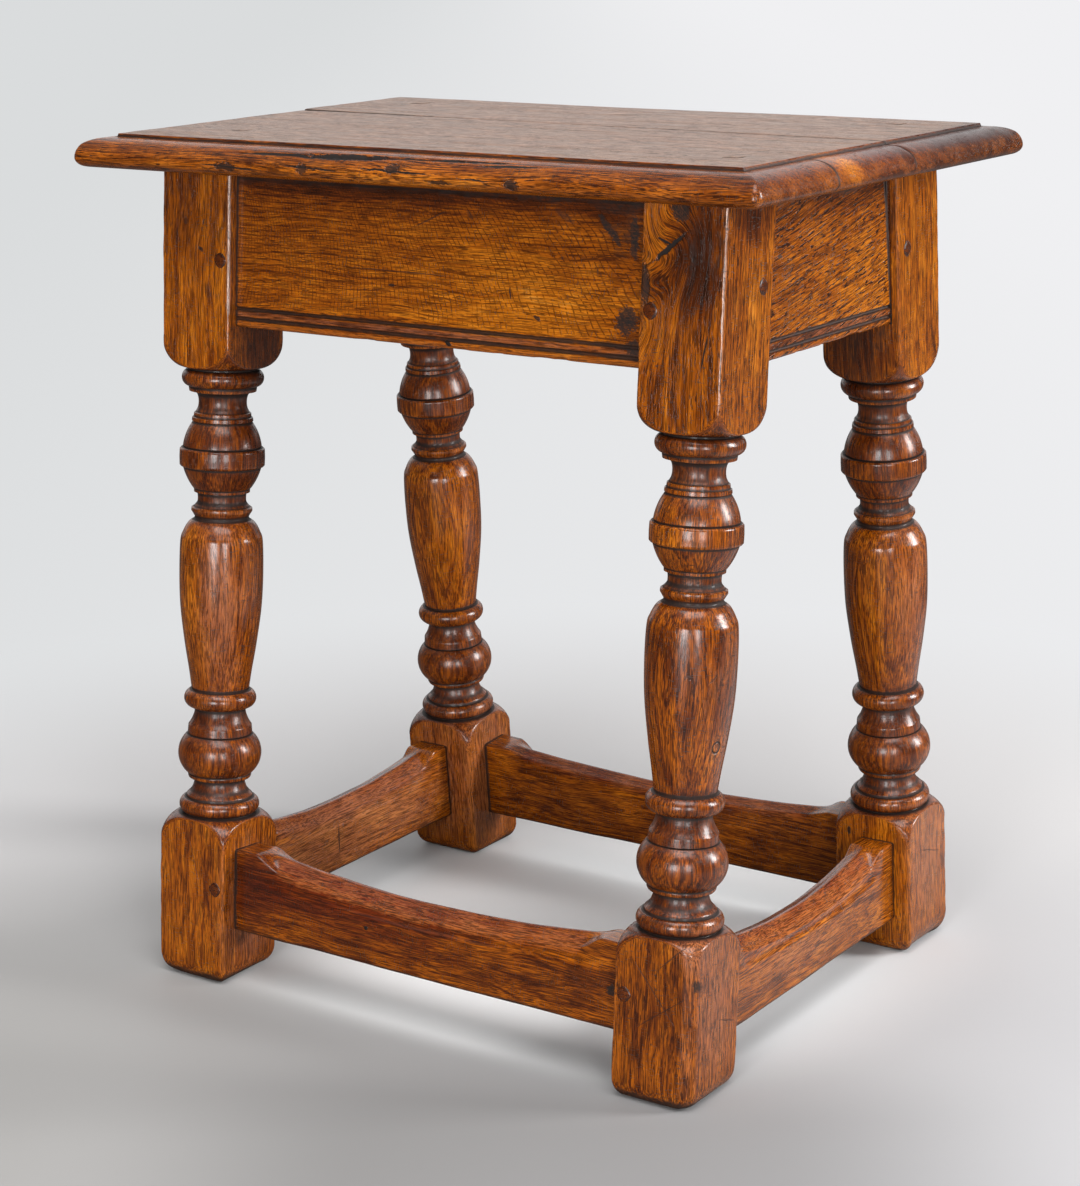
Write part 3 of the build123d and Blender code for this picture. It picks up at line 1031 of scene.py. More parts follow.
@dataclass(frozen=True)
class Stance:
    """Where the four legs stand, how they lean and how thick they are."""

    leg_x: float = 168.0
    foot_y: float = 135.095
    lean: float = 0.0808
    half_square: float = 25.75
    seat_underside: float = 498.7

    @property
    def stretch(self) -> float:
        """Length along the lean for each millimetre of height."""
        return math.hypot(1.0, self.lean)

    @property
    def leg_length(self) -> float:
        """Length of a leg along its lean."""
        return self.seat_underside * self.stretch

    def leaning(self, side_y: int, x: np.ndarray, out: np.ndarray, up: np.ndarray) -> np.ndarray:
        """Points given in the leaning plane of the front or back legs, in the stool's frame.

        Args:
            side_y: -1 for the front, 1 for the back.
            x: Places along the stool.
            out: Distances outwards from the leg axes, square to the lean.
            up: Distances up the lean.

        Returns:
            The points, as rows of three numbers.
        """
        y = side_y * (self.foot_y + (out - up * self.lean) / self.stretch)
        return np.stack([x, y, (up + out * self.lean) / self.stretch], axis=-1)

    def side_shoulder(self, height: np.ndarray) -> np.ndarray:
        """Distance from the middle of a side to the inner face of its legs."""
        return self.foot_y - self.lean * height - self.half_square * self.stretch


STANCE = Stance()

# ---- legs

# Each stretch of the turning, from the foot up: radius and height of its marks.
STORY_STICK = [
    (Cut.ROUND, [(21.8, 0.3), (24.7, 4.8), (22.6, 9.3)]),  # base ring
    (Cut.FLAT, [(20.6, 9.8), (20.2, 11.5)]),
    (Cut.SWEEP, [(20.0, 11.7), (17.2, 14.7), (15.6, 19.0), (15.5, 21.8)]),  # lowest neck
    (Cut.ROUND, [(18.9, 22.3), (19.5, 23.7), (19.2, 25.1)]),
    (Cut.ROUND, [(20.2, 25.7), (25.6, 38.8), (20.4, 49.8)]),  # bulb
    (Cut.FLAT, [(19.2, 50.1), (19.9, 50.6), (19.5, 55.4)]),
    (Cut.SWEEP, [(19.3, 55.7), (17.4, 58.9), (15.9, 63.0), (15.6, 66.5)]),  # bell-shaped neck
    (Cut.ROUND, [(18.6, 67.1), (22.2, 72.3), (19.2, 77.5)]),  # lower ring
    (
        Cut.SWEEP,
        [(17.6, 78.1), (19.4, 90.8), (22.2, 108.3), (24.9, 130.8), (25.6, 153.0)]
        + [(25.1, 170.5), (23.5, 176.1), (20.5, 181.5), (16.7, 184.4)],
    ),  # vase
    (Cut.FLAT, [(16.4, 185.6), (18.6, 189.2), (18.5, 190.9)]),  # sharp ring
    (Cut.SWEEP, [(17.0, 191.9), (15.0, 194.4), (14.7, 197.2), (15.0, 200.2)]),  # middle neck
    (Cut.FLAT, [(17.0, 200.7), (17.1, 202.7)]),
    (Cut.ROUND, [(17.8, 203.3), (21.8, 210.2), (23.9, 216.3)]),  # ball, lower half
    (
        Cut.FLAT,
        [(25.2, 216.6), (25.8, 217.3), (25.9, 222.0), (25.7, 226.8), (25.0, 227.7), (23.3, 228.1)],
    ),  # band
    (Cut.ROUND, [(23.8, 228.7), (22.0, 235.9), (17.9, 243.5)]),  # ball, upper half
    (Cut.FLAT, [(18.5, 244.1), (18.3, 246.1), (17.4, 246.5), (17.2, 248.9)]),
    (Cut.SWEEP, [(16.3, 249.4), (14.9, 252.2), (14.5, 256.0), (15.2, 259.7), (16.9, 261.7)]),
    (Cut.FLAT, [(20.2, 262.1), (20.6, 265.0)]),
    (Cut.ROUND, [(22.0, 265.5), (24.8, 270.1), (22.4, 274.9)]),  # top ring
    (Cut.FLAT, [(20.8, 275.2), (20.8, 276.0)]),
]


FINE_STEP = 0.25


def blurred(outline: np.ndarray, steps: int, width: float) -> np.ndarray:
    """Outline with its small turns blurred away.

    Args:
        outline: Radii, one for each fine step up a leg.
        steps: How many steps to either side count.
        width: Width of the blur, in millimetres.

    Returns:
        The blurred radii.
    """
    bell = np.exp(-(np.arange(-steps, steps + 1) * FINE_STEP / width) ** 2)
    return np.convolve(np.pad(outline, steps, mode="edge"), bell / bell.sum(), mode="valid")


@dataclass
class Leg:
    """One leg: a square top block, a turned baluster and a square foot, from one stick.

    Args:
        corner: Which leg it is.
        finish: Finish of the leg.
        mark_shift: How far its turning sits above the others.
        rubbed_and_glint: Height from which its front right arris is worn pale and painted with a
            highlight line, if it is, and how much.
        arris: Radius of the worn arrises, in order front left, front right, back right, back left.
        foot_arris: The same for the foot.
        foot_round: Rounding of the bottom edges: front, right, back, left.
        clouds: Soft patches of colour.
        knots: Knots that the grain bends round.
        foot_block: Length of the square foot.
        top_block: Length of the square top block.
        stick_length: Length of the turning on the story stick.
        dome_shoulder: Radius to which a block's rounded end comes in.
        dome_rise: How far that end rises.
        block_radius: Radius that a block's corners have.
        vase_foot: Height where the vase begins.
        vase_neck: Height where it ends.
        vase_fade: Length over which its colour comes in.
        face_columns: Points across each face.
    """

    corner: Corner
    finish: Oak
    mark_shift: float = 0.0
    rubbed_and_glint: tuple = ()
    arris: tuple = (1.3, 1.3, 1.3, 1.3)
    foot_arris: tuple = (1.6, 2.0, 1.6, 1.6)
    foot_round: tuple = (8.0, 8.0, 8.0, 8.0)
    clouds: tuple = ()
    knots: tuple = ()
    foot_block: float = 97.8
    top_block: float = 125.1
    stick_length: float = 276.5
    dome_shoulder: float = 22.0
    dome_rise: float = 18.0
    block_radius: float = 36.4
    vase_foot: float = 168.0
    vase_neck: float = 292.0
    vase_fade: float = 18.0
    face_columns: int = 38

    @property
    def name(self) -> str:
        """Name of the leg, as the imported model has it."""
        return f"leg_{self.corner.name.lower()}"

    @property
    def foot_end(self) -> float:
        """Where the foot block ends."""
        return self.foot_block + self.mark_shift

    @property
    def turning_length(self) -> float:
        """Length of the turned part."""
        return STANCE.leg_length - self.foot_block - self.top_block

    def turning(self) -> np.ndarray:
        """Rows of the turned part.

        Returns:
            Height up the leg and radius of each row.
        """
        outline = []
        for cut, marks in STORY_STICK:
            if cut is Cut.ROUND:
                reach = abs(marks[-1][1] - marks[0][1])
                outline.append(arc_through(*marks, max(7, int(reach / 0.85))))
            elif cut is Cut.SWEEP:
                outline.append(curve_through(marks, 5))
            else:
                outline.append(np.array(marks, dtype=float))
        points = np.vstack(outline)
        rows = [points[:1]]
        for start, end in zip(points[:-1], points[1:]):
            parts = max(1, math.ceil(math.hypot(*(end - start)) / 0.95))
            rows.append(start + (end - start) * np.linspace(0, 1, parts + 1)[1:, None])
        rows = np.vstack(rows)
        scale = self.turning_length / self.stick_length
        return np.stack([self.foot_end + rows[:, 1] * scale, rows[:, 0]], axis=1)

    def rows(self) -> np.ndarray:
        """All rows of the leg from the floor to the seat.

        Returns:
            Height up the leg, largest radius and share of the outline, for each row.
        """
        turn = np.linspace(0.0, math.pi / 2, 20)
        reach = math.hypot(STANCE.half_square, STANCE.half_square) - self.dome_shoulder
        dome = self.dome_shoulder + reach * np.cos(turn)
        block_end = self.foot_end + self.turning_length
        low_start = self.foot_end - self.dome_rise
        high_start = block_end + self.dome_rise
        wide = 60.0
        low = np.concatenate([np.linspace(0, 9, 13)[:-1], np.arange(9.0, low_start - 0.6, 1.5)])
        high = np.linspace(high_start + 1.5, STANCE.leg_length, 66)
        turned = self.turning()
        heights = [
            np.zeros(5),
            low,
            low_start + self.dome_rise * np.sin(turn),
            turned[:, 0],
            high_start - self.dome_rise * np.sin(turn[::-1]),
            high,
            np.full(4, STANCE.leg_length),
        ]
        radii = [
            np.full(5 + len(low), wide),
            dome,
            turned[:, 1],
            dome[::-1],
            np.full(len(high) + 4, wide),
        ]
        share = np.ones(sum(len(part) for part in heights))
        share[:5] = (0.02, 0.3, 0.6, 0.85, 0.96)
        share[-4:] = (0.97, 0.7, 0.35, 0.02)
        return np.stack([np.concatenate(heights), np.concatenate(radii), share], axis=1)

    def directions(self) -> np.ndarray:
        """Directions round the axis, closer together towards the arrises.

        Returns:
            Unit vectors from the front left corner round to it again, seen from above.
        """
        part = np.linspace(-1.0, 1.0, self.face_columns, endpoint=False)
        along = STANCE.half_square * (0.55 * part + 0.45 * np.sin(part * math.pi / 2))
        flat = np.full(len(along), STANCE.half_square)
        sides = ((along, -flat), (flat, along), (-along, flat), (-flat, -along))
        outline = np.vstack([np.stack(side, axis=1) for side in sides])
        return outline / np.linalg.norm(outline, axis=1, keepdims=True)

    def build(self) -> Timber:
        """Shape the leg and work out its fields.

        Returns:
            The leg as timber.
        """
        rows = self.rows()
        ways = self.directions()
        height = np.repeat(rows[:, 0], len(ways))
        limit = np.repeat(rows[:, 1], len(ways))
        share = np.repeat(rows[:, 2], len(ways))
        way = np.tile(ways, (len(rows), 1))
        grit = Grit(11 + 7 * list(Corner).index(self.corner))
        rough_place = np.stack([height, way[:, 0] * 25, way[:, 1] * 25], axis=1)

        arris = self.arris_radius(height, way, grit, rough_place)
        half = STANCE.half_square - self.foot_inset(height, way)
        big = np.max(np.abs(way), axis=1)
        small = np.min(np.abs(way), axis=1)
        inner = half - arris
        on_face = half / big
        bend = np.sqrt(np.maximum(arris**2 - (inner * (big - small)) ** 2, 0.0))
        on_arris = inner * (big + small) + bend
        square = np.where(on_face * small > inner, on_arris, on_face)
        blunt = 0.5
        gap = np.clip(0.5 + (limit - square) / (2 * blunt), 0.0, 1.0)
        radius = limit * (1 - gap) + square * gap - blunt * gap * (1 - gap)
        in_block = ease(-1.0, 2.0, limit - square)

        hollows = grit.rough(rough_place, (46, 19, 19), 3)
        radius = radius + np.where(limit < 40, 0.10, 0.16) * hollows
        for cloud in self.clouds:
            if cloud.sink:
                local = np.stack([height, way[:, 0] * radius, way[:, 1] * radius], axis=1)
                radius = radius - cloud.sink * cloud.weight(local)
        radius = radius * share
        x = way[:, 0] * radius
        y = way[:, 1] * radius
        side_x, side_y = self.corner.value
        tilt = -side_y * STANCE.lean
        up = height + y * tilt * ease(26.0, 0.0, height)
        up = up + y * tilt * ease(STANCE.leg_length - 30, STANCE.leg_length, height)
        points = STANCE.leaning(side_y, side_x * STANCE.leg_x + x, side_y * y, up)
        timber = Timber(points, np.stack([up, x, y], axis=1), sleeve_faces(len(rows), len(ways)))
        self.colour(timber, rows, len(ways), in_block, hollows)
        return timber

    def arris_radius(
        self, height: np.ndarray, way: np.ndarray, grit: Grit, place: np.ndarray
    ) -> np.ndarray:
        """Radius of the arris, uneven along its length.

        Args:
            height: Height of each point.
            way: Direction of each point from the axis.
            grit: The leg's own unevenness.
            place: Places of the points.

        Returns:
            The radius at each point.
        """
        quarter = (way[:, 0] > 0).astype(int) + np.where(way[:, 1] > 0, 2, 0)
        order = np.array([0, 1, 3, 2])[quarter]
        top = np.array(self.arris)[order]
        foot = np.array(self.foot_arris)[order]
        radius = np.where(height > 200, top, foot)
        uneven = grit.rough(place * np.array([1.0, 0.02, 0.02]), (9, 9, 9), 3)
        return np.clip(radius * (1.0 + 0.9 / (1.0 + radius) * uneven), 0.5, 12.0)

    def foot_inset(self, height: np.ndarray, way: np.ndarray) -> np.ndarray:
        """How far the worn bottom edge draws in.

        Args:
            height: Height of each point.
            way: Direction of each point from the axis.

        Returns:
            The inset at each point.
        """
        x, y = way.T
        weights = [np.clip(toward, 0, 1) ** 6 for toward in (-y, x, y, -x)]
        reach = sum(w * r for w, r in zip(weights, self.foot_round)) / sum(weights)
        below = np.clip(1.0 - height / (1.3 * reach), 0.0, 1.0)
        return 0.9 * reach * (1.0 - np.sqrt(np.maximum(1.0 - below**2, 0.0)))

    def colour(
        self,
        timber: Timber,
        rows: np.ndarray,
        columns: int,
        in_block: np.ndarray,
        hollows: np.ndarray,
    ) -> None:
        """Work out wear, grime and tone over the leg, with a painted highlight along a worn arris
        and, from some clouds, painted shade.

        Args:
            timber: Leg whose fields are filled.
            rows: Rows of the leg.
            columns: Points in each row.
            in_block: 1 on the blocks and 0 on the turning.
            hollows: The leg's own slow unevenness.
        """
        height, limit, _ = rows.T
        fine = np.arange(0.0, STANCE.leg_length, FINE_STEP)
        outline = np.interp(fine, height, np.minimum(limit, self.block_radius))
        broad = blurred(outline, 40, 3.6)
        proud = np.repeat(np.interp(height, fine, outline - broad), columns)
        close = blurred(outline, 12, 1.1)
        crease = np.repeat(np.interp(height, fine, close - outline), columns)
        turned = 1.0 - in_block
        timber.grime += turned * (0.28 * np.clip(-proud / 1.7, 0, 1) + np.clip(crease / 0.22, 0, 1))
        timber.worn += turned * np.clip(proud / 2.0, 0, 1) * 0.5
        timber.tone -= turned * np.clip(-proud / 2.0 + 0.15, 0, 1) * 0.16
        place = timber.place
        flat = np.max(np.abs(place[:, 1:]), axis=1)
        edge = np.min(np.abs(place[:, 1:]), axis=1)
        on_arris = in_block * ease(3.2, 0.6, STANCE.half_square - edge)
        timber.worn += 0.6 * on_arris
        # The front right arris is lightened to a pale line: partly wear, partly a painted
        # highlight.
        if self.rubbed_and_glint:
            away = STANCE.half_square - np.minimum(place[:, 1], -place[:, 2])
            start, strength = self.rubbed_and_glint
            pale = ease(2.3, 1.0, away) * ease(start - 6, start + 6, place[:, 0])
            timber.worn += strength * pale
        shoulder = in_block * ease(1.5, 5.0, STANCE.half_square - flat)
        timber.blush += 0.35 * shoulder
        timber.red += 0.1 * turned
        vase = ease(self.vase_foot, self.vase_foot + self.vase_fade, place[:, 0])
        vase = vase * ease(self.vase_neck, self.vase_neck - self.vase_fade, place[:, 0])
        timber.tone += 0.05 * hollows - turned * (0.2 - 0.14 * vase)
        soft = 0.3 + 0.4 * np.clip(0.2 - proud / 2.0, 0, 1)
        timber.dull += turned * soft * (1.0 - 0.7 * vase)
        reach = np.hypot(place[:, 1], place[:, 2])
        follow = (1.0 + turned * 0.65 * (21.0 / np.maximum(reach, 1.0) - 1.0))[:, None]
        timber.grain[:, 1:] *= follow
        timber.grime += 0.6 * ease(7.0, 0.5, place[:, 0])
        timber.bend_grain(self.knots)
        timber.tint(self.clouds)

    def make(self) -> bpy.types.Object:
        """Build the leg as an object."""
        return self.build().make(self.name, "leg_oak", self.finish)


# ---- rails


def rail_place(side: Side, along: np.ndarray, out: np.ndarray, up: np.ndarray) -> np.ndarray:
    """Points of a rail in the stool's frame.

    Args:
        side: Side of the stool that the rail is on.
        along: Places along the rail, in the direction of X or Y.
        out: Distances outwards from the leg axes.
        up: Heights, up the lean for the front and back.

    Returns:
        The points, as rows of three numbers.
    """
    side_x, side_y = side.value
    if side_y:
        return STANCE.leaning(side_y, along, out, up)
    return np.stack([side_x * (STANCE.leg_x + out), along, up], axis=-1)


def rail_reach(side: Side, up: np.ndarray) -> np.ndarray:
    """Distance from the middle of a rail to its shoulder.

    Args:
        side: Side of the stool that the rail is on.
        up: Heights.

    Returns:
        The distance at each height.
    """
    if side.value[1]:
        return np.full(len(up), STANCE.leg_x - STANCE.half_square)
    return STANCE.side_shoulder(up)


@dataclass
class Rail:
    """A board between two legs.

    Args:
        side: Side of the stool that it is on.
        finish: Finish of the board.
        clouds: Soft patches of colour.
    """

    kind: ClassVar[str]
    first_seed: ClassVar[int]

    side: Side
    finish: Oak
    clouds: tuple = ()

    @property
    def name(self) -> str:
        """Name of the rail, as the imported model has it."""
        return f"{self.kind}_{self.side.name.lower()}"

    @property
    def grit(self) -> Grit:
        """The rail's own unevenness."""
        return Grit(self.first_seed + 13 * list(Side).index(self.side))

    def build(self) -> Timber:
        """Shape the rail and work out its fields."""
        raise NotImplementedError

    def make(self) -> bpy.types.Object:
        """Build the rail as an object."""
        return self.build().make(self.name, "rail_oak", self.finish)


@dataclass
class Apron(Rail):
    """One apron: a board with two grooves and a bead along its lower edge.

    Args:
        setback: How far its face lies behind the faces of the legs.
        slip: Whether a slip fills its back shoulder.
        grain_tilt: How steeply its grain rises along it.
    """

    kind: ClassVar[str] = "apron"
    first_seed: ClassVar[int] = 101

    setback: float = 5.0
    slip: bool = False
    grain_tilt: float = 0.0
    bottom: float = 406.0
    thickness: float = 19.0
    grooves: tuple = (5.2, 11.0)
    groove_radius: float = 1.1
    bead_radius: float = 2.4
    slip_depth: float = 8.0
    slip_top: float = 6.0
    slip_bottom: float = 0.8
    station_step: float = 1.25

    @property
    def outer(self) -> float:
        """Distance of the outer face from the leg axes."""
        return STANCE.half_square - self.setback

    def section(self) -> np.ndarray:
        """Outline of the board across its length, from the inner lower corner and round.

        Returns:
            Distance outwards and height of each point.
        """
        outer, inner = self.outer, self.outer - self.thickness
        lean = STANCE.lean if self.side.value[1] else 0.0
        top_out = STANCE.seat_underside * math.hypot(1, lean) - outer * lean
        top_in = STANCE.seat_underside * math.hypot(1, lean) - inner * lean
        turn = np.linspace(-math.pi / 2, 0, 9)
        bead_x = outer - self.bead_radius + self.bead_radius * np.cos(turn)
        bead_y = self.bottom + self.bead_radius + self.bead_radius * np.sin(turn)
        low = self.bottom + self.bead_radius
        moulded = np.arange(low + 0.25, self.bottom + 13.6, 0.25)
        plain = np.linspace(self.bottom + 14.2, top_out, 68)
        up = np.concatenate([moulded, plain])
        out = np.full(len(up), outer)
        for groove in self.grooves:
            inside = self.groove_radius**2 - (up - self.bottom - groove) ** 2
            out = out - np.sqrt(np.maximum(inside, 0.0))
        back = np.linspace(top_in, self.bottom, 16)[1:]
        under = np.linspace(inner, outer - self.bead_radius, 7)[1:-1]
        parts = [
            (bead_x, bead_y),
            (out, up),
            (np.linspace(outer, inner, 5)[1:], np.linspace(top_out, top_in, 5)[1:]),
            (np.full(len(back), inner), back),
            (under, np.full(len(under), self.bottom)),
        ]
        return np.vstack([np.stack(part, axis=1) for part in parts])

    def build(self) -> Timber:
        """Shape the board and work out its fields.

        Returns:
            The apron as timber.
        """
        outline = self.section()
        rows = int(2 * rail_reach(self.side, np.array([self.bottom]))[0] / self.station_step)
        share = np.repeat(np.linspace(-1.0, 1.0, rows), len(outline))
        out, up = np.tile(outline, (rows, 1)).T
        reach = rail_reach(self.side, up) + 0.25
        if self.slip:
            part = (up - self.bottom) / (STANCE.seat_underside - self.bottom)
            width = self.slip_bottom + part * (self.slip_top - self.slip_bottom)
            cut = (out > self.outer - self.slip_depth) & (share > 0)
            reach = reach - np.where(cut, width, 0.0) * ease(0.6, 1.0, share)
        along = share * reach
        place = np.stack([along, up, out], axis=1)
        grit = self.grit
        hollows = grit.rough(place, (60, 22, 14), 3)
        on_face = ease(self.outer - 1.2, self.outer - 0.3, out)
        worn_edge = ease(self.bottom + 3.0, self.bottom, up) * ease(
            self.outer - 4.5, self.outer - 1.0, out
        )
        bites = np.clip(grit.rough(place * (1, 0.05, 0.05), (13, 9, 9), 3) - 0.35, 0, 1)
        out = out + 0.22 * hollows * on_face - 0.9 * bites * worn_edge
        up = up + 0.8 * bites * worn_edge
        points = rail_place(self.side, along, out, up)
        timber = Timber(points, place, sleeve_faces(rows, len(outline)))
        timber.grain[:, 1] -= self.grain_tilt * along
        self.colour(timber, hollows, reach)
        return timber

    def colour(self, timber: Timber, hollows: np.ndarray, reach: np.ndarray) -> None:
        """Work out wear, grime, painted shade under the seat, and tone over the board.

        Args:
            timber: Apron whose fields are filled.
            hollows: The board's own slow unevenness.
            reach: Distance of the shoulder at each point.
        """
        along, up, out = timber.place.T
        for groove in self.grooves:
            near = ease(1.9, 0.7, np.abs(up - self.bottom - groove))
            timber.grime += 0.6 * near * ease(self.outer - 3.0, self.outer - 1.2, out)
        timber.worn += 0.5 * ease(4.8, 2.0, up - self.bottom) * ease(
            self.outer - 3, self.outer - 1, out
        )
        timber.grime += 0.9 * ease(3.0, 0.2, reach - np.abs(along))
        # Darker towards the seat: dirt and painted shade under the seat's overhang.
        timber.grime += 0.6 * ease(12.0, 2.0, STANCE.seat_underside - up)
        timber.tone += 0.06 * hollows
        timber.tint(self.clouds)


@dataclass
class Slip:
    """Thin wedge that closes the back shoulder of the right apron.

    Args:
        apron: Apron that it stands beside.
        finish: Finish of the wedge.
    """

    apron: Apron
    finish: Oak

    def make(self) -> bpy.types.Object:
        """Build the slip as an object.

        Returns:
            The new object.
        """
        apron = self.apron
        rows = 60
        share = np.linspace(0.0, 1.0, rows)
        up = apron.bottom + share * (STANCE.seat_underside - apron.bottom)
        shoulder = STANCE.side_shoulder(up)
        width = apron.slip_bottom + share * (apron.slip_top - apron.slip_bottom)
        turn = np.linspace(0.0, 2 * math.pi, 24, endpoint=False)
        across = np.clip(np.cos(turn) * 0.75, -0.5, 0.5) + 0.5
        depth = np.clip(np.sin(turn) * 0.75, -0.5, 0.5) + 0.5
        grit = Grit(77)
        along = (shoulder - width)[:, None] + width[:, None] * across[None, :]
        out = apron.outer - apron.slip_depth * (1.0 - depth[None, :]) + 0.0 * along
        height = up[:, None] + 0.0 * along
        place = np.stack([height.ravel(), along.ravel(), out.ravel()], axis=1)
        proud = 0.5 * ease(0.4, 0.9, (place[:, 2] - apron.outer + 1.0))
        bumps = grit.rough(place, (30, 6, 6), 2)
        points = rail_place(
            Side.RIGHT, place[:, 1], place[:, 2] + proud * (0.6 + bumps), place[:, 0]
        )
        timber = Timber(points, place, sleeve_faces(rows, len(turn)))
        edge = np.tile(np.clip(1.0 - across, 0, 1), rows)
        high = np.repeat(share, len(turn))
        # Darker at the edges, the gaps beside it, and towards the top, where the darkening is
        # painted shade under the seat.
        timber.tone += 0.15 - 0.45 * edge - 0.3 * high
        timber.grime += 0.8 * ease(0.75, 1.0, edge) + 0.35 * high * edge
        return timber.make("apron_right_slip", "rail_oak", self.finish)


@dataclass
class Stretcher(Rail):
    """One low rail, worn hollow on top by feet.

    Args:
        bottom: Height of its lower edge.
        wear: Depth of the hollow at the middle.
        outer_bevel: How far the outer top arris is worn down at the middle.
        inner_bevel: The same for the inner top arris.
    """

    kind: ClassVar[str] = "stretcher"
    first_seed: ClassVar[int] = 211

    bottom: float = 28.5
    wear: float = 8.0
    outer_bevel: float = 7.0
    inner_bevel: float = 3.0
    height: float = 51.5
    thickness: float = 22.5
    setback: float = 10.5
    unworn_end: float = 16.0
    arris: float = 1.5
    station_step: float = 1.4

    def section(self) -> np.ndarray:
        """Outline of the rail across its length.

        Returns:
            Distance outwards and height of each point.
        """
        outer = STANCE.half_square - self.setback
        inner = outer - self.thickness
        low, high = self.bottom, self.bottom + self.height
        sides = []
        corners = [(outer, low), (outer, high), (inner, high), (inner, low)]
        for turn, (x, y) in enumerate(corners):
            angle = np.linspace(-math.pi / 2, 0, 6) + turn * math.pi / 2
            mid_x = x - self.arris if x == outer else x + self.arris
            mid_y = y - self.arris if y == high else y + self.arris
            bend = np.stack(
                [mid_x + self.arris * np.cos(angle), mid_y + self.arris * np.sin(angle)], axis=1
            )
            sides.append(bend)
            after = corners[(turn + 1) % 4]
            span = np.array(after, dtype=float) - np.array((x, y), dtype=float)
            length = np.linalg.norm(span)
            steps = max(2, round((length - 2 * self.arris) / 1.1))
            part = (self.arris + (length - 2 * self.arris) * np.linspace(0, 1, steps + 1)) / length
            sides.append(np.array((x, y)) + span * part[1:-1, None])
        return np.vstack(sides)

    def build(self) -> Timber:
        """Shape the rail and work out its fields.

        Returns:
            The stretcher as timber.
        """
        outline = self.section()
        outer = STANCE.half_square - self.setback
        inner = outer - self.thickness
        rows = int(2 * rail_reach(self.side, np.array([self.bottom]))[0] / self.station_step)
        share = np.repeat(np.linspace(-1.0, 1.0, rows), len(outline))
        out, up = np.tile(outline, (rows, 1)).T
        reach = rail_reach(self.side, up)
        along = share * (reach + 0.25)
        place = np.stack([along, up, out], axis=1)
        grit = self.grit
        end = np.mean(reach) - self.unworn_end
        middle = np.clip(1.0 - (along / end) ** 2, 0.0, 1.0)
        ramp = ease(0.0, 0.25, middle)
        high = np.clip((up - self.bottom) / self.height, 0.0, 1.0)
        outwards = ease(outer - 13.0, outer, out)
        inwards = ease(inner + 11.0, inner, out)
        unevenly = 1.0 + 0.12 * grit.rough(place * (1, 0.05, 0.05), (40, 30, 30), 2)
        fall = self.wear * middle * unevenly
        fall = fall + (self.outer_bevel * outwards + self.inner_bevel * inwards) * ramp
        worn_up = up - fall * ease(0.45, 1.0, high)
        drawn = ease(0.62, 1.0, high) * ramp
        worn_out = out - 2.2 * drawn * outwards + 1.2 * drawn * inwards
        hollows = grit.rough(place, (48, 16, 16), 3)
        centre = np.array([outer - self.thickness / 2, self.bottom + self.height / 2])
        away_out = (worn_out - centre[0]) / (self.thickness / 2)
        away_up = (worn_up - centre[1]) / (self.height / 2)
        worn_out = worn_out + 0.25 * hollows * away_out
        worn_up = worn_up + 0.25 * hollows * away_up
        points = rail_place(self.side, along, worn_out, worn_up)
        timber = Timber(points, place, sleeve_faces(rows, len(outline)))
        timber.place[:, 1] = worn_up
        timber.grain[:, 1] = worn_up
        self.colour(timber, hollows, high * ramp, outwards, reach)
        return timber

    def colour(
        self,
        timber: Timber,
        hollows: np.ndarray,
        trodden: np.ndarray,
        outwards: np.ndarray,
        reach: np.ndarray,
    ) -> None:
        """Work out wear, grime and tone over the rail.

        Args:
            timber: Stretcher whose fields are filled.
            hollows: The rail's own slow unevenness.
            trodden: How near each point is to the trodden top.
            outwards: How near each point is to the outer face.
            reach: Distance of the shoulder at each point.
        """
        along, up, _ = timber.place.T
        on_top = ease(0.86, 1.0, trodden)
        timber.red += 0.5 * on_top
        timber.blush += 0.25 * on_top
        timber.worn += 0.4 * on_top * outwards
        timber.grime += 0.9 * ease(3.5, 0.2, reach - np.abs(along))
        timber.grime += 0.5 * ease(3.0, 0.5, up - self.bottom)
        timber.tone += 0.06 * hollows - 0.03
        timber.tint(self.clouds)


# ---- pegs


def cleft_peg(
    start: Vector, end: Vector, half: float, sides: int, seed: int, squareness: float
) -> tuple:
    """Mesh of one cleft peg with eased, uneven ends.

    Args:
        start: Middle of one end.
        end: Middle of the other end.
        half: Half its thickness.
        sides: How many points go round it.
        seed: Number that tells its unevenness from others.
        squareness: 0 for a round peg and 1 for a square one.

    Returns:
        Its vertices, their places in the peg and how many rings it has.
    """
    way = (end - start).normalized()
    side = way.orthogonal().normalized() if abs(way.z) < 0.9 else Vector((1, 0, 0))
    other = way.cross(side)
    length = (end - start).length
    ease_in = [(0.02, 0.0), (0.6, 0.0), (0.88, 0.1), (0.97, 0.35), (1.0, 0.9)]
    rows = ease_in + [(1.0, length * k / 8) for k in range(1, 8)]
    rows += [(share, length - inset) for share, inset in ease_in[::-1]]
    turn = np.arange(sides) * 2 * math.pi / sides + 0.2 * (1 - squareness)
    grit = Grit(seed)
    around = np.stack([np.zeros(sides), 6 * np.cos(turn), 6 * np.sin(turn)], axis=1)
    wobble = 1.0 + 0.05 * grit.soft(around, (4, 4, 4))
    square = 1.0 / np.maximum(np.abs(np.cos(turn)), np.abs(np.sin(turn)))
    outline = half * wobble * ((1 - squareness) + squareness * np.minimum(square, 1.34))
    points, places = [], []
    for share, inset in rows:
        for angle, radius in zip(turn, outline):
            a, b = radius * share * math.cos(angle), radius * share * math.sin(angle)
            points.append(start + way * inset + side * a + other * b)
            places.append((inset, a, b))
    return np.array([tuple(p) for p in points]), np.array(places), len(rows)


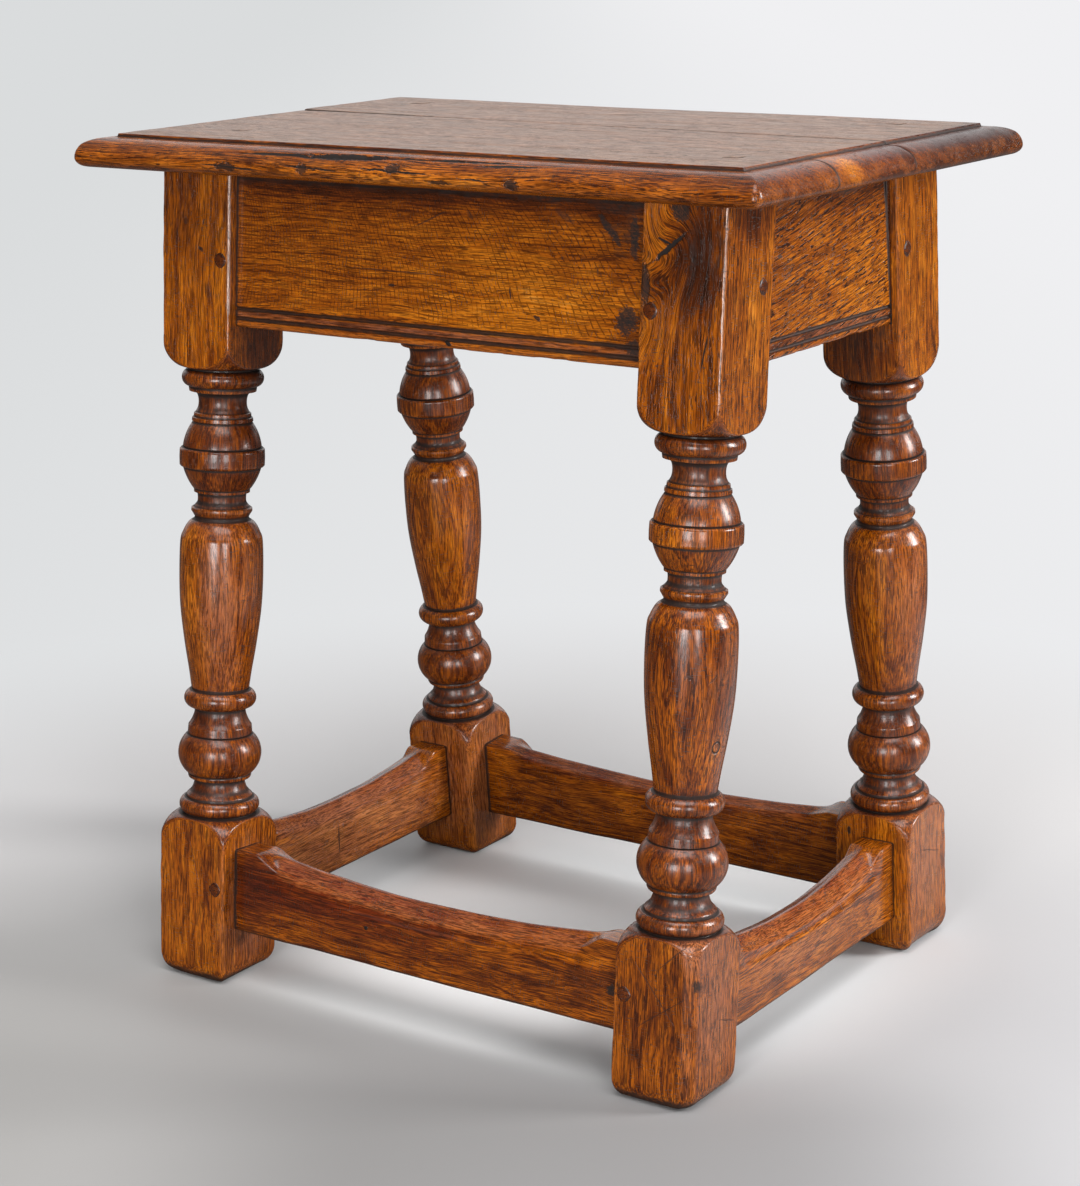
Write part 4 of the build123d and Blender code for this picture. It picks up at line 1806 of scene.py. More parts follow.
@dataclass
class Pegs:
    """The pegs of one joint, as one piece.

    Args:
        node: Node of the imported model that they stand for.
        ends: Start and end of each peg.
        finish: Finish of the pegs.
        half: Half the thickness of a peg.
        squareness: 0 for round pegs and 1 for square ones.
        sides: How many points go round a peg.
        dull: Dullness of the wax on them.
    """

    node: str
    ends: list
    finish: Oak
    half: float = 4.4
    squareness: float = 0.25
    sides: int = 24
    dull: float = 0.0

    def make(self) -> bpy.types.Object:
        """Build the pegs as one object.

        Returns:
            The new object.
        """
        points, places, faces = [], [], []
        for number, (start, end) in enumerate(self.ends):
            seed = 5 * len(self.node) + number
            own, place, rows = cleft_peg(
                Vector(start), Vector(end), self.half, self.sides, seed, self.squareness
            )
            faces += sleeve_faces(rows, self.sides, sum(len(p) for p in points))
            points.append(own)
            places.append(place)
        timber = Timber(np.vstack(points), np.vstack(places), faces)
        rim = np.max(np.abs(timber.place[:, 1:]), axis=1) / self.half
        timber.grime += 0.9 * ease(0.8, 1.0, rim)
        timber.tone -= 0.4
        timber.dull += self.dull
        return timber.make(self.node, "peg_oak", self.finish)


@dataclass
class PegSet:
    """All pegs of the stool and where each is driven.

    Args:
        stretchers: The stretchers, whose heights the pegs follow.
        finish: Finish of the rails' pegs.
        seat_finish: Finish of the seat's pegs.
        proud: How far a rail's peg stands out.
        past_tenon: How far it reaches past the tenon.
        tenon_cheek: Distance from the middle of a leg to a tenon's outer cheek.
        tenon_thickness: Thickness of a tenon.
        long_inset: Distance of a peg from the shoulder of a long rail.
        side_inset: The same for a side rail.
        apron_drops: Distance of each apron's pegs below the seat.
        stretcher_rises: Distance of each stretcher's pegs above its lower edge, in their order.
        seat_places: Place in plan and top of each peg of the seat.
        seat_side: Thickness of a seat peg.
        seat_low: Height of its lower end.
    """

    stretchers: tuple
    finish: Oak
    seat_finish: Oak
    proud: float = 0.5
    past_tenon: float = 8.0
    tenon_cheek: float = 2.0
    tenon_thickness: float = 9.0
    long_inset: float = 6.75
    side_inset: float = 11.0
    apron_drops: tuple = (
        (Side.FRONT, (53.9, 60.6)),
        (Side.BACK, (56.0, 58.0)),
        (Side.LEFT, (50.0, 52.0)),
        (Side.RIGHT, (49.5, 49.2)),
    )
    stretcher_rises: tuple = ((27.0, 27.0), (26.0, 25.0), (25.0, 27.0), (25.0, 27.0))
    seat_places: tuple = (
        (-157.2, -90.0, 518.3),
        (182.1, -95.0, 518.3),
        (171.1, 111.5, 518.3),
        (-171.1, 105.0, 518.9),
    )
    seat_side: float = 10.5
    seat_low: float = 477.7

    def across(self, side: Side, heights: tuple, from_inside: bool) -> list:
        """Ends of the two pegs of a rail.

        Args:
            side: Side of the stool.
            heights: Height of each peg.
            from_inside: Whether the heads are on the inside.

        Returns:
            Start and end of each peg.
        """
        tip = self.tenon_cheek - self.past_tenon
        head = STANCE.half_square + self.proud
        if from_inside:
            tip = -STANCE.half_square
            head = self.tenon_cheek + self.tenon_thickness + self.past_tenon
        side_x, side_y = side.value
        order = (side_y, -side_y) if side_y else (-side_x, side_x)
        pairs = []
        for sign, height in zip(order, heights):
            up = np.array([height])
            if side_y:
                along = np.array([sign * (STANCE.leg_x - STANCE.half_square + self.long_inset)])
            else:
                offset = (self.side_inset - STANCE.half_square) * STANCE.stretch
                along = sign * (STANCE.foot_y - STANCE.lean * up + offset)
            start = rail_place(side, along, np.array([tip]), up)[0]
            end = rail_place(side, along, np.array([head]), up)[0]
            pairs.append((start, end))
        return pairs

    def make(self) -> None:
        """Build every peg of the stool."""
        for side, drops in self.apron_drops:
            heights = tuple(STANCE.seat_underside - drop for drop in drops)
            node = f"pegs_apron_{side.name.lower()}"
            Pegs(node, self.across(side, heights, False), self.finish).make()
        for stretcher, rises in zip(self.stretchers, self.stretcher_rises):
            heights = tuple(stretcher.bottom + rise for rise in rises)
            inside = stretcher.side in (Side.LEFT, Side.RIGHT)
            node = f"pegs_{stretcher.name}"
            Pegs(node, self.across(stretcher.side, heights, inside), self.finish).make()
        ends = [((x, y, self.seat_low), (x, y, top)) for x, y, top in self.seat_places]
        seat = Pegs("seat_pegs", ends, self.seat_finish, self.seat_side / 2, 1.0, 32, 1.25)
        seat.make()


# ---- seat


@dataclass
class Seat:
    """Seat of two boards with a thumb moulding on all four edges and one patched end.

    Args:
        front: Finish of the front board.
        back: Finish of the back board.
        patch: Finish of the patch.
        clouds: Soft patches of colour.
        length: Length of the seat.
        width: Its width from front to back.
        top: Height of its upper surface.
        thickness: Thickness of the boards.
        corner_radius: Rounding of the corners in plan.
        joint_left: Y of the joint at the left end.
        joint_right: The same at the right end.
        joint_blend: Distance over which a board's rows turn to follow the joint.
        joint_gap: Width of the joint.
        moulding_width: Width of the moulding.
        moulding_step: Height of the step from the moulding to the flat top.
        moulding_flat: Width of the moulding's flat inner part.
        moulding_fall: How far that part falls outwards.
        step_width: Width of the step.
        nose_height: Height of the foremost line above the underside.
        under_round: How far the rounding reaches in underneath.
        patch_front: Y of the seam at the patch's front end.
        crack: Split in the front moulding: X, Y and half width along it.
    """

    front: Oak
    back: Oak
    patch: Oak
    clouds: tuple = ()
    length: float = 464.8
    width: float = 315.4
    top: float = 518.0
    thickness: float = 19.3
    corner_radius: float = 4.5
    joint_left: float = 37.0
    joint_right: float = 16.0
    joint_blend: float = 30.0
    joint_gap: float = 0.35
    moulding_width: float = 19.4
    moulding_step: float = 1.8
    moulding_flat: float = 3.8
    moulding_fall: float = 0.3
    step_width: float = 0.7
    nose_height: float = 5.9
    under_round: float = 9.6
    patch_front: float = -73.0
    crack: tuple = (
        (-118.0, -152.8, 0.0),
        (-104.0, -152.7, 0.35),
        (-62.0, -152.5, 0.5),
        (-52.0, -152.2, 1.0),
        (-12.0, -151.2, 1.0),
        (0.0, -150.6, 0.6),
        (40.0, -150.0, 0.5),
        (72.0, -149.2, 0.35),
        (88.0, -149.0, 0.0),
    )

    def edge_spacing(self) -> np.ndarray:
        """Where the moulding has its lines.

        Returns:
            Their distances from the edge.
        """
        turn = np.linspace(0.0, math.pi / 2, 26)
        thumb = (self.moulding_width - self.moulding_flat) * (1.0 - np.cos(turn))
        flat = np.linspace(self.moulding_width - self.moulding_flat, self.moulding_width, 6)[1:]
        step = self.moulding_width + np.array([0.25, 0.45, self.step_width, 1.4, 2.4])
        return np.concatenate([thumb, flat, step])

    def upper(self, inset: np.ndarray) -> np.ndarray:
        """Height of the upper surface.

        Args:
            inset: Distance of each point from the edge.

        Returns:
            The height at each point.
        """
        nose = self.top - self.thickness + self.nose_height
        thumb_top = self.top - self.moulding_step - self.moulding_fall
        thumb = self.moulding_width - self.moulding_flat
        part = np.clip(1.0 - inset / thumb, 0.0, 1.0)
        round_top = nose + (thumb_top - nose) * np.sqrt(1.0 - part**2)
        across = np.clip((inset - thumb) / self.moulding_flat, 0.0, 1.0)
        flat = thumb_top + self.moulding_fall * across
        rise = self.moulding_step * ease(0.0, self.step_width, inset - self.moulding_width)
        return np.where(inset < thumb, round_top, flat) + rise

    def lower(self, inset: np.ndarray) -> np.ndarray:
        """Height of the lower surface.

        Args:
            inset: Distance of each point from the edge.

        Returns:
            The height at each point.
        """
        part = np.clip(1.0 - inset / self.under_round, 0.0, 1.0)
        under = self.top - self.thickness
        return under + self.nose_height * (1.0 - np.sqrt(1.0 - part**2))

    def plan(self, cross: np.ndarray, deep: np.ndarray) -> tuple:
        """Plan places of a grid, drawn in to the rounded corners.

        Args:
            cross: X of the grid's columns.
            deep: Y of the grid's rows.

        Returns:
            X, Y and distance from the edge of every grid point.
        """
        x, y = np.meshgrid(cross, deep, indexing="ij")
        centre_x = self.length / 2 - self.corner_radius
        centre_y = self.width / 2 - self.corner_radius
        past_x = np.abs(x) - centre_x
        past_y = np.abs(y) - centre_y
        in_corner = (past_x > 0) & (past_y > 0)
        reach = np.hypot(past_x, past_y)
        pull = np.where(in_corner, np.maximum(past_x, past_y) / np.maximum(reach, 1e-9), 1.0)
        inset = np.minimum(self.length / 2 - np.abs(x), self.width / 2 - np.abs(y))
        x = np.where(in_corner, np.sign(x) * (centre_x + past_x * pull), x)
        y = np.where(in_corner, np.sign(y) * (centre_y + past_y * pull), y)
        return x, y, np.maximum(inset, 0.0)

    def joint(self, x: np.ndarray) -> np.ndarray:
        """Y of the joint between the boards at each X."""
        part = (x + self.length / 2) / self.length
        return self.joint_left + (self.joint_right - self.joint_left) * part

    def slab(
        self, keep: np.ndarray, x: np.ndarray, y: np.ndarray, top: np.ndarray, low: np.ndarray
    ) -> tuple:
        """Closed mesh between an upper and a lower surface, over some cells of a grid.

        Args:
            keep: Which cells of the grid are filled.
            x: X of the grid points.
            y: Y of the grid points.
            top: Height of the upper surface.
            low: Height of the lower surface.

        Returns:
            Vertices, lists of vertex numbers and which vertices are on the upper surface.
        """
        used = np.zeros(x.shape, dtype=bool)
        for di in (0, 1):
            for dj in (0, 1):
                used[di : used.shape[0] - 1 + di, dj : used.shape[1] - 1 + dj] |= keep
        upper = np.full(x.shape, -1)
        upper[used] = np.arange(used.sum())
        apart = used & (top - low > 1e-6)
        lower = upper.copy()
        lower[apart] = used.sum() + np.arange(apart.sum())
        points = np.vstack(
            [
                np.stack([x[used], y[used], top[used]], axis=1),
                np.stack([x[apart], y[apart], low[apart]], axis=1),
            ]
        )
        i, j = np.nonzero(keep)
        loop = [(i, j), (i + 1, j), (i + 1, j + 1), (i, j + 1)]
        faces = np.stack([upper[a] for a in loop], axis=1).tolist()
        faces += np.stack([lower[a] for a in loop[::-1]], axis=1).tolist()
        filled = np.pad(keep, 1)
        for step, (a, b) in {
            (-1, 0): ((0, 1), (0, 0)),
            (1, 0): ((1, 0), (1, 1)),
            (0, -1): ((0, 0), (1, 0)),
            (0, 1): ((1, 1), (0, 1)),
        }.items():
            open_side = keep & ~filled[1 + step[0] : 1 + step[0] + keep.shape[0],
                                       1 + step[1] : 1 + step[1] + keep.shape[1]]
            i, j = np.nonzero(open_side)
            first = (i + a[0], j + a[1])
            second = (i + b[0], j + b[1])
            wall = np.stack([upper[second], upper[first], lower[first], lower[second]], axis=1)
            for quad in wall.tolist():
                corners = list(dict.fromkeys(quad))
                if len(corners) > 2:
                    faces.append(corners)
        on_top = np.zeros(len(points), dtype=bool)
        on_top[: used.sum()] = True
        return points, faces, on_top

    def board(self, node: str, deep: np.ndarray, finish: Oak, outline: Outline) -> None:
        """Build one board or the patch.

        Args:
            node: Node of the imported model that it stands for.
            deep: Rows of the grid as shares, from the front to the back of the piece.
            finish: Finish of the piece.
            outline: How much of its half of the seat it fills.
        """
        spacing = self.edge_spacing()
        half = self.length / 2
        inner = np.linspace(-half + spacing[-1], half - spacing[-1], 260)[1:-1]
        cross = np.concatenate([-half + spacing, inner, half - spacing[::-1]])
        x, y, inset = self.plan(cross, deep)
        front = node != "seat_back_board"
        joint_y = self.joint(x)
        gap = self.joint_gap
        if front:
            limit = joint_y - gap / 2
            start = self.joint_right - self.joint_blend
            squeeze = np.clip((y - start) / (deep[-1] - start), 0.0, 1.0)
            y = np.where(y > start, start + (limit - start) * squeeze, y)
        else:
            limit = joint_y + gap / 2
            end = self.joint_left + self.joint_blend
            squeeze = np.clip((end - y) / (end - deep[0]), 0.0, 1.0)
            y = np.where(y < end, end - (end - limit) * squeeze, y)
        edge = inset < 1e-6
        top = self.upper(inset)
        low = np.where(edge, top, self.lower(inset))
        place = np.stack([x.ravel(), y.ravel(), top.ravel()], axis=1)
        top = top + self.dents(place, front).reshape(x.shape) * ease(0.0, 2.0, inset)
        to_joint = np.abs(y - joint_y)
        top = top - 0.5 * ease(1.6, 0.1, to_joint) * ease(1.0, 6.0, inset)
        if not front:
            top = top + 0.8 * ease(-20.0, -230.0, x) * ease(6.0, 14.0, inset)
        cell_x = (x[:-1, :-1] + x[1:, 1:]) / 2
        cell_y = (y[:-1, :-1] + y[1:, 1:]) / 2
        in_patch = (cell_x > half - self.moulding_width) & (cell_y > self.patch_front)
        keep = np.ones(cell_x.shape, dtype=bool)
        if outline is Outline.NOTCHED:
            keep = ~in_patch
        elif outline is Outline.PATCH:
            keep = in_patch
        points, faces, on_top = self.slab(keep, x, y, top, low)
        timber = Timber(points, points.copy(), faces)
        self.colour(timber, on_top, front)
        timber.make(node, "seat_oak", finish)

    def dents(self, place: np.ndarray, front: bool) -> np.ndarray:
        """Change of height of the upper surface by use and age.

        Args:
            place: Places of the points.
            front: Whether it is the front board or its patch.

        Returns:
            The change at each point.
        """
        grit = Grit(401 if front else 433)
        slow = grit.rough(place, (120, 40, 40), 3)
        quick = grit.rough(place, (14, 5, 50), 2)
        lift = 0.25 * slow + 0.05 * quick
        if front:
            x, y, _ = place.T
            stations, lines, widths = zip(*self.crack)
            line = np.interp(x, stations, lines)
            line = line + 0.35 * grit.rough(place * (1, 0, 0), (9, 9, 9), 3)
            wide = np.interp(x, stations, widths)
            wide = wide * (1 + 0.45 * grit.rough(place * (1, 0, 0) + 7, (7, 7, 7), 2))
            away = (y - line) / np.maximum(wide, 0.25)
            lift -= 2.2 * np.clip(wide, 0, 1.5) * np.exp(-(away**2))
        return lift

    def colour(self, timber: Timber, on_top: np.ndarray, front: bool) -> None:
        """Work out wear, grime and tone over a board.

        Args:
            timber: Board whose fields are filled.
            on_top: Which vertices are on the upper surface.
            front: Whether it is the front board or its patch.
        """
        x, y, _ = timber.place.T
        inset = np.minimum(self.length / 2 - np.abs(x), self.width / 2 - np.abs(y))
        quirk = np.abs(inset - self.moulding_width + 0.4)
        timber.grime += 0.75 * on_top * ease(1.2, 0.3, quirk)
        timber.grime += 0.8 * ease(1.2, 0.2, np.abs(y - self.joint(x))) * on_top
        nose = ease(7.0, 1.5, inset)
        timber.worn += 0.25 * nose
        in_end = ease(self.moulding_width + 0.5, self.moulding_width - 0.5, self.length / 2 - x)
        timber.grime += 0.85 * in_end * ease(1.3, 0.4, np.abs(y - self.patch_front))
        flat = on_top * ease(self.moulding_width, self.moulding_width + 3, inset)
        timber.blush += 0.3 * flat
        # The flat top is dull, dry wax, and its pale grey-tan colour is also a painted sheen.
        timber.dull += 1.1 * flat + 0.2
        timber.tone += 0.07 * Grit(409).rough(timber.place, (90, 14, 14), 3) - 0.12 - 0.06 * flat
        if front:
            stations, lines, widths = zip(*self.crack)
            wide = np.interp(x, stations, widths)
            near = np.abs(y - np.interp(x, stations, lines)) - wide
            timber.grime += 0.25 * on_top * ease(1.2, 0.0, near) * ease(0.1, 0.5, wide)
        timber.tint(self.clouds)

    def make(self) -> None:
        """Build both boards and the patch."""
        spacing = self.edge_spacing()
        half = self.width / 2
        reach = np.linspace(-half + spacing[-1], self.joint_right - 0.8, 92)[1:]
        patch_line = reach[np.argmin(np.abs(reach - self.patch_front))]
        pull = ease(60.0, 0.0, np.abs(reach - patch_line))
        reach = reach + (self.patch_front - patch_line) * pull
        deep = np.concatenate([-half + spacing, reach, self.joint_right + np.array([-0.4, 0.0])])
        self.board("seat_front_board", deep, self.front, Outline.NOTCHED)
        self.board("seat_end_patch", deep, self.patch, Outline.PATCH)
        back = np.linspace(self.joint_left + 0.8, half - spacing[-1], 56)[:-1]
        deep = np.concatenate([self.joint_left + np.array([0.0, 0.4]), back, half - spacing[::-1]])
        self.board("seat_back_board", deep, self.back, Outline.WHOLE)


# ---- studio

SIDEWAYS = (0.825, 0.566, 0.0)  # from left to right, as the camera stands
INWARDS = (-0.566, 0.825, 0.0)  # away from the camera
HAZE = paint(229, 230, 231)


@dataclass
class Studio:
    """Pale floor, soft lamps and the camera.

    Args:
        focal_length: Focal length of the lens, in millimetres.
        camera_place: Where the camera stands, in metres.
        yaw: How far it is turned to the left, in degrees.
        pitch: How far it looks down.
        roll: How far it is tilted.
        floor_size: Half the side of the floor, in metres.
    """

    focal_length: float = 82.0
    camera_place: tuple = (0.8998, -1.3270, 0.6632)
    yaw: float = 34.44
    pitch: float = 14.94
    roll: float = -0.83
    floor_size: float = 30.0

    def camera(self) -> None:
        """Set up the camera."""
        yaw, pitch, roll = (math.radians(a) for a in (self.yaw, self.pitch, self.roll))
        forward = Vector(
            (-math.sin(yaw) * math.cos(pitch), math.cos(yaw) * math.cos(pitch), -math.sin(pitch))
        )
        right = Vector((math.cos(yaw), math.sin(yaw), 0.0))
        up = right.cross(forward)
        rolled_right = right * math.cos(roll) + up * math.sin(roll)
        rolled_up = up * math.cos(roll) - right * math.sin(roll)
        data = bpy.data.cameras.new("studio camera")
        data.lens = self.focal_length
        data.sensor_width = 36.0
        data.sensor_fit = "AUTO"
        eye = bpy.data.objects.new("studio camera", data)
        turn = Matrix((rolled_right, rolled_up, -forward)).transposed().to_4x4()
        eye.matrix_world = Matrix.Translation(Vector(self.camera_place)) @ turn
        bpy.context.scene.collection.objects.link(eye)
        bpy.context.scene.camera = eye

    def lamp(
        self, name: str, azimuth: float, height: float, away: float, size: tuple, power: float
    ) -> None:
        """Hang one soft box that points at the middle of the stool.

        Args:
            name: Name of the lamp.
            azimuth: Direction it stands in, in degrees from +X.
            height: Angle above the horizon, in degrees.
            away: Distance from the stool, in metres.
            size: Width and height, in metres.
            power: Power in watts.
        """
        turn, rise = math.radians(azimuth), math.radians(height)
        aim = Vector((0.0, 0.0, 0.28))
        way = Vector(
            (math.cos(turn) * math.cos(rise), math.sin(turn) * math.cos(rise), math.sin(rise))
        )
        data = bpy.data.lights.new(name, "AREA")
        data.shape = "RECTANGLE"
        data.size, data.size_y = size
        data.energy = power
        box = bpy.data.objects.new(name, data)
        box.location = aim + way * away
        box.rotation_euler = (-way).to_track_quat("-Z", "Y").to_euler()
        bpy.context.scene.collection.objects.link(box)

    def world(self) -> None:
        """Light the room: a pale backdrop behind the stool and a darker room in front of it."""
        world = bpy.data.worlds.new("studio")
        bpy.context.scene.world = world
        world.use_nodes = True
        world.node_tree.nodes.clear()
        bench = Bench(world.node_tree)
        way = bench.node("ShaderNodeTexCoord").outputs["Generated"]
        back = bench.vector("DOT_PRODUCT", way, INWARDS)
        rear = bench.step(back, 0.55, 0.9)
        above = bench.step(bench.split(way)[2], 0.3, 0.95)
        room = bench.most(rear, bench.mul(above, 0.42))
        lit = bench.mad(room, 0.9, 0.08)
        shown = bench.node("ShaderNodeLightPath").outputs["Is Camera Ray"]
        light = bench.node("ShaderNodeBackground", (0.98, 0.99, 1.0, 1.0), lit)
        plain = bench.node("ShaderNodeBackground", HAZE)
        mixed = bench.node("ShaderNodeMixShader", shown, light.outputs[0], plain.outputs[0])
        bench.node("ShaderNodeOutputWorld", mixed.outputs[0])

    def floor(self) -> None:
        """Lay the floor, which fades into the plain backdrop further off, with painted light and
        shade near the stool.
        """
        mesh = bpy.data.meshes.new("floor")
        reach = self.floor_size
        mesh.from_pydata(
            [(-reach, -reach, 0), (reach, -reach, 0), (reach, reach, 0), (-reach, reach, 0)],
            [],
            [(0, 1, 2, 3)],
        )
        floor = bpy.data.objects.new("floor", mesh)
        bpy.context.scene.collection.objects.link(floor)
        made = bpy.data.materials.new("pale floor")
        made.use_nodes = True
        made.node_tree.nodes.clear()
        bench = Bench(made.node_tree)
        place = bench.node("ShaderNodeTexCoord").outputs["Object"]
        across = bench.vector("DOT_PRODUCT", place, SIDEWAYS)
        side = bench.step(across, -1.2, 1.2)
        away = bench.vector("LENGTH", place)
        backdrop = bench.blend(side, paint(218, 220, 221), paint(240, 240, 242))
        backdrop = bench.blend(bench.step(away, 14.0, 29.0), backdrop, HAZE)
        near = bench.step(across, -0.6, 0.5)
        near = bench.blend(near, paint(147, 145, 142), paint(175, 174, 176))
        # Paler behind the stool: painted light over the stool's shadow there.
        depth = bench.vector("DOT_PRODUCT", place, INWARDS)
        near = bench.blend(bench.step(depth, -0.15, 0.3), near, paint(194, 192, 192))
        left_to_right, front_to_back, _ = bench.split(place)
        # Painted light: a paler patch under the seat that lifts the seat's shadow.
        under = bench.vector("LENGTH", bench.vector("SUBTRACT", place, (0.0, 0.04, 0.0)))
        painted_light_under_seat = bench.mul(bench.step(under, 0.27, 0.1), bench.step(front_to_back, -0.17, -0.13))
        near = bench.blend(bench.mul(painted_light_under_seat, 0.9), near, paint(240, 240, 240))
        # Painted shade: a darker patch on the floor in front of the stool, towards the camera.
        painted_shade_in_front = bench.mul(bench.step(depth, -0.14, -0.26), bench.step(across, 0.3, 0.1))
        painted_shade_in_front = bench.mul(painted_shade_in_front, bench.step(across, -0.28, -0.1))
        near = bench.blend(bench.mul(painted_shade_in_front, 0.42), near, paint(70, 68, 66))
        path = bench.node("ShaderNodeLightPath")
        beside = bench.mul(bench.step(left_to_right, 0.1, 0.3), bench.step(away, 1.0, 0.5))
        mirrored = bench.mul(path.outputs["Is Glossy Ray"], beside)
        shown = bench.most(path.outputs["Is Camera Ray"], mirrored)
        surface = bench.node("ShaderNodeBsdfPrincipled")
        bench.feed(surface.inputs["Base Color"], bench.blend(shown, paint(92, 91, 90), near))
        surface.inputs["Roughness"].default_value = 0.6
        surface.inputs["Specular IOR Level"].default_value = 0.2
        glow = bench.node("ShaderNodeEmission", backdrop)
        far = bench.mul(bench.step(away, 0.42, 0.85), shown)
        mixed = bench.node("ShaderNodeMixShader", far, surface.outputs[0], glow.outputs[0])
        bench.node("ShaderNodeOutputMaterial", mixed.outputs[0])
        mesh.materials.append(made)

    def make(self) -> None:
        """Set up camera, lamps, world and floor."""
        self.camera()
        self.lamp("left soft box", -76.0, 6.0, 2.5, (0.7, 0.9), 36.0)
        self.lamp("right soft box", -44.0, 6.0, 2.5, (0.42, 0.9), 22.0)
        self.lamp("side soft box", 29.0, 18.0, 2.5, (0.62, 1.0), 66.0)
        self.lamp("top soft box", -50.0, 68.0, 2.4, (1.8, 1.8), 58.0)
        self.world()
        self.floor()
        bpy.context.scene.view_settings.view_transform = "Standard"


# ---- the pieces of this stool

FACE_FRONT, FACE_RIGHT, ON_RAIL = Face.LEG_FRONT, Face.LEG_RIGHT, Face.RAIL
ON_TOP, ON_EDGE = Face.SEAT_TOP, Face.SEAT_FRONT

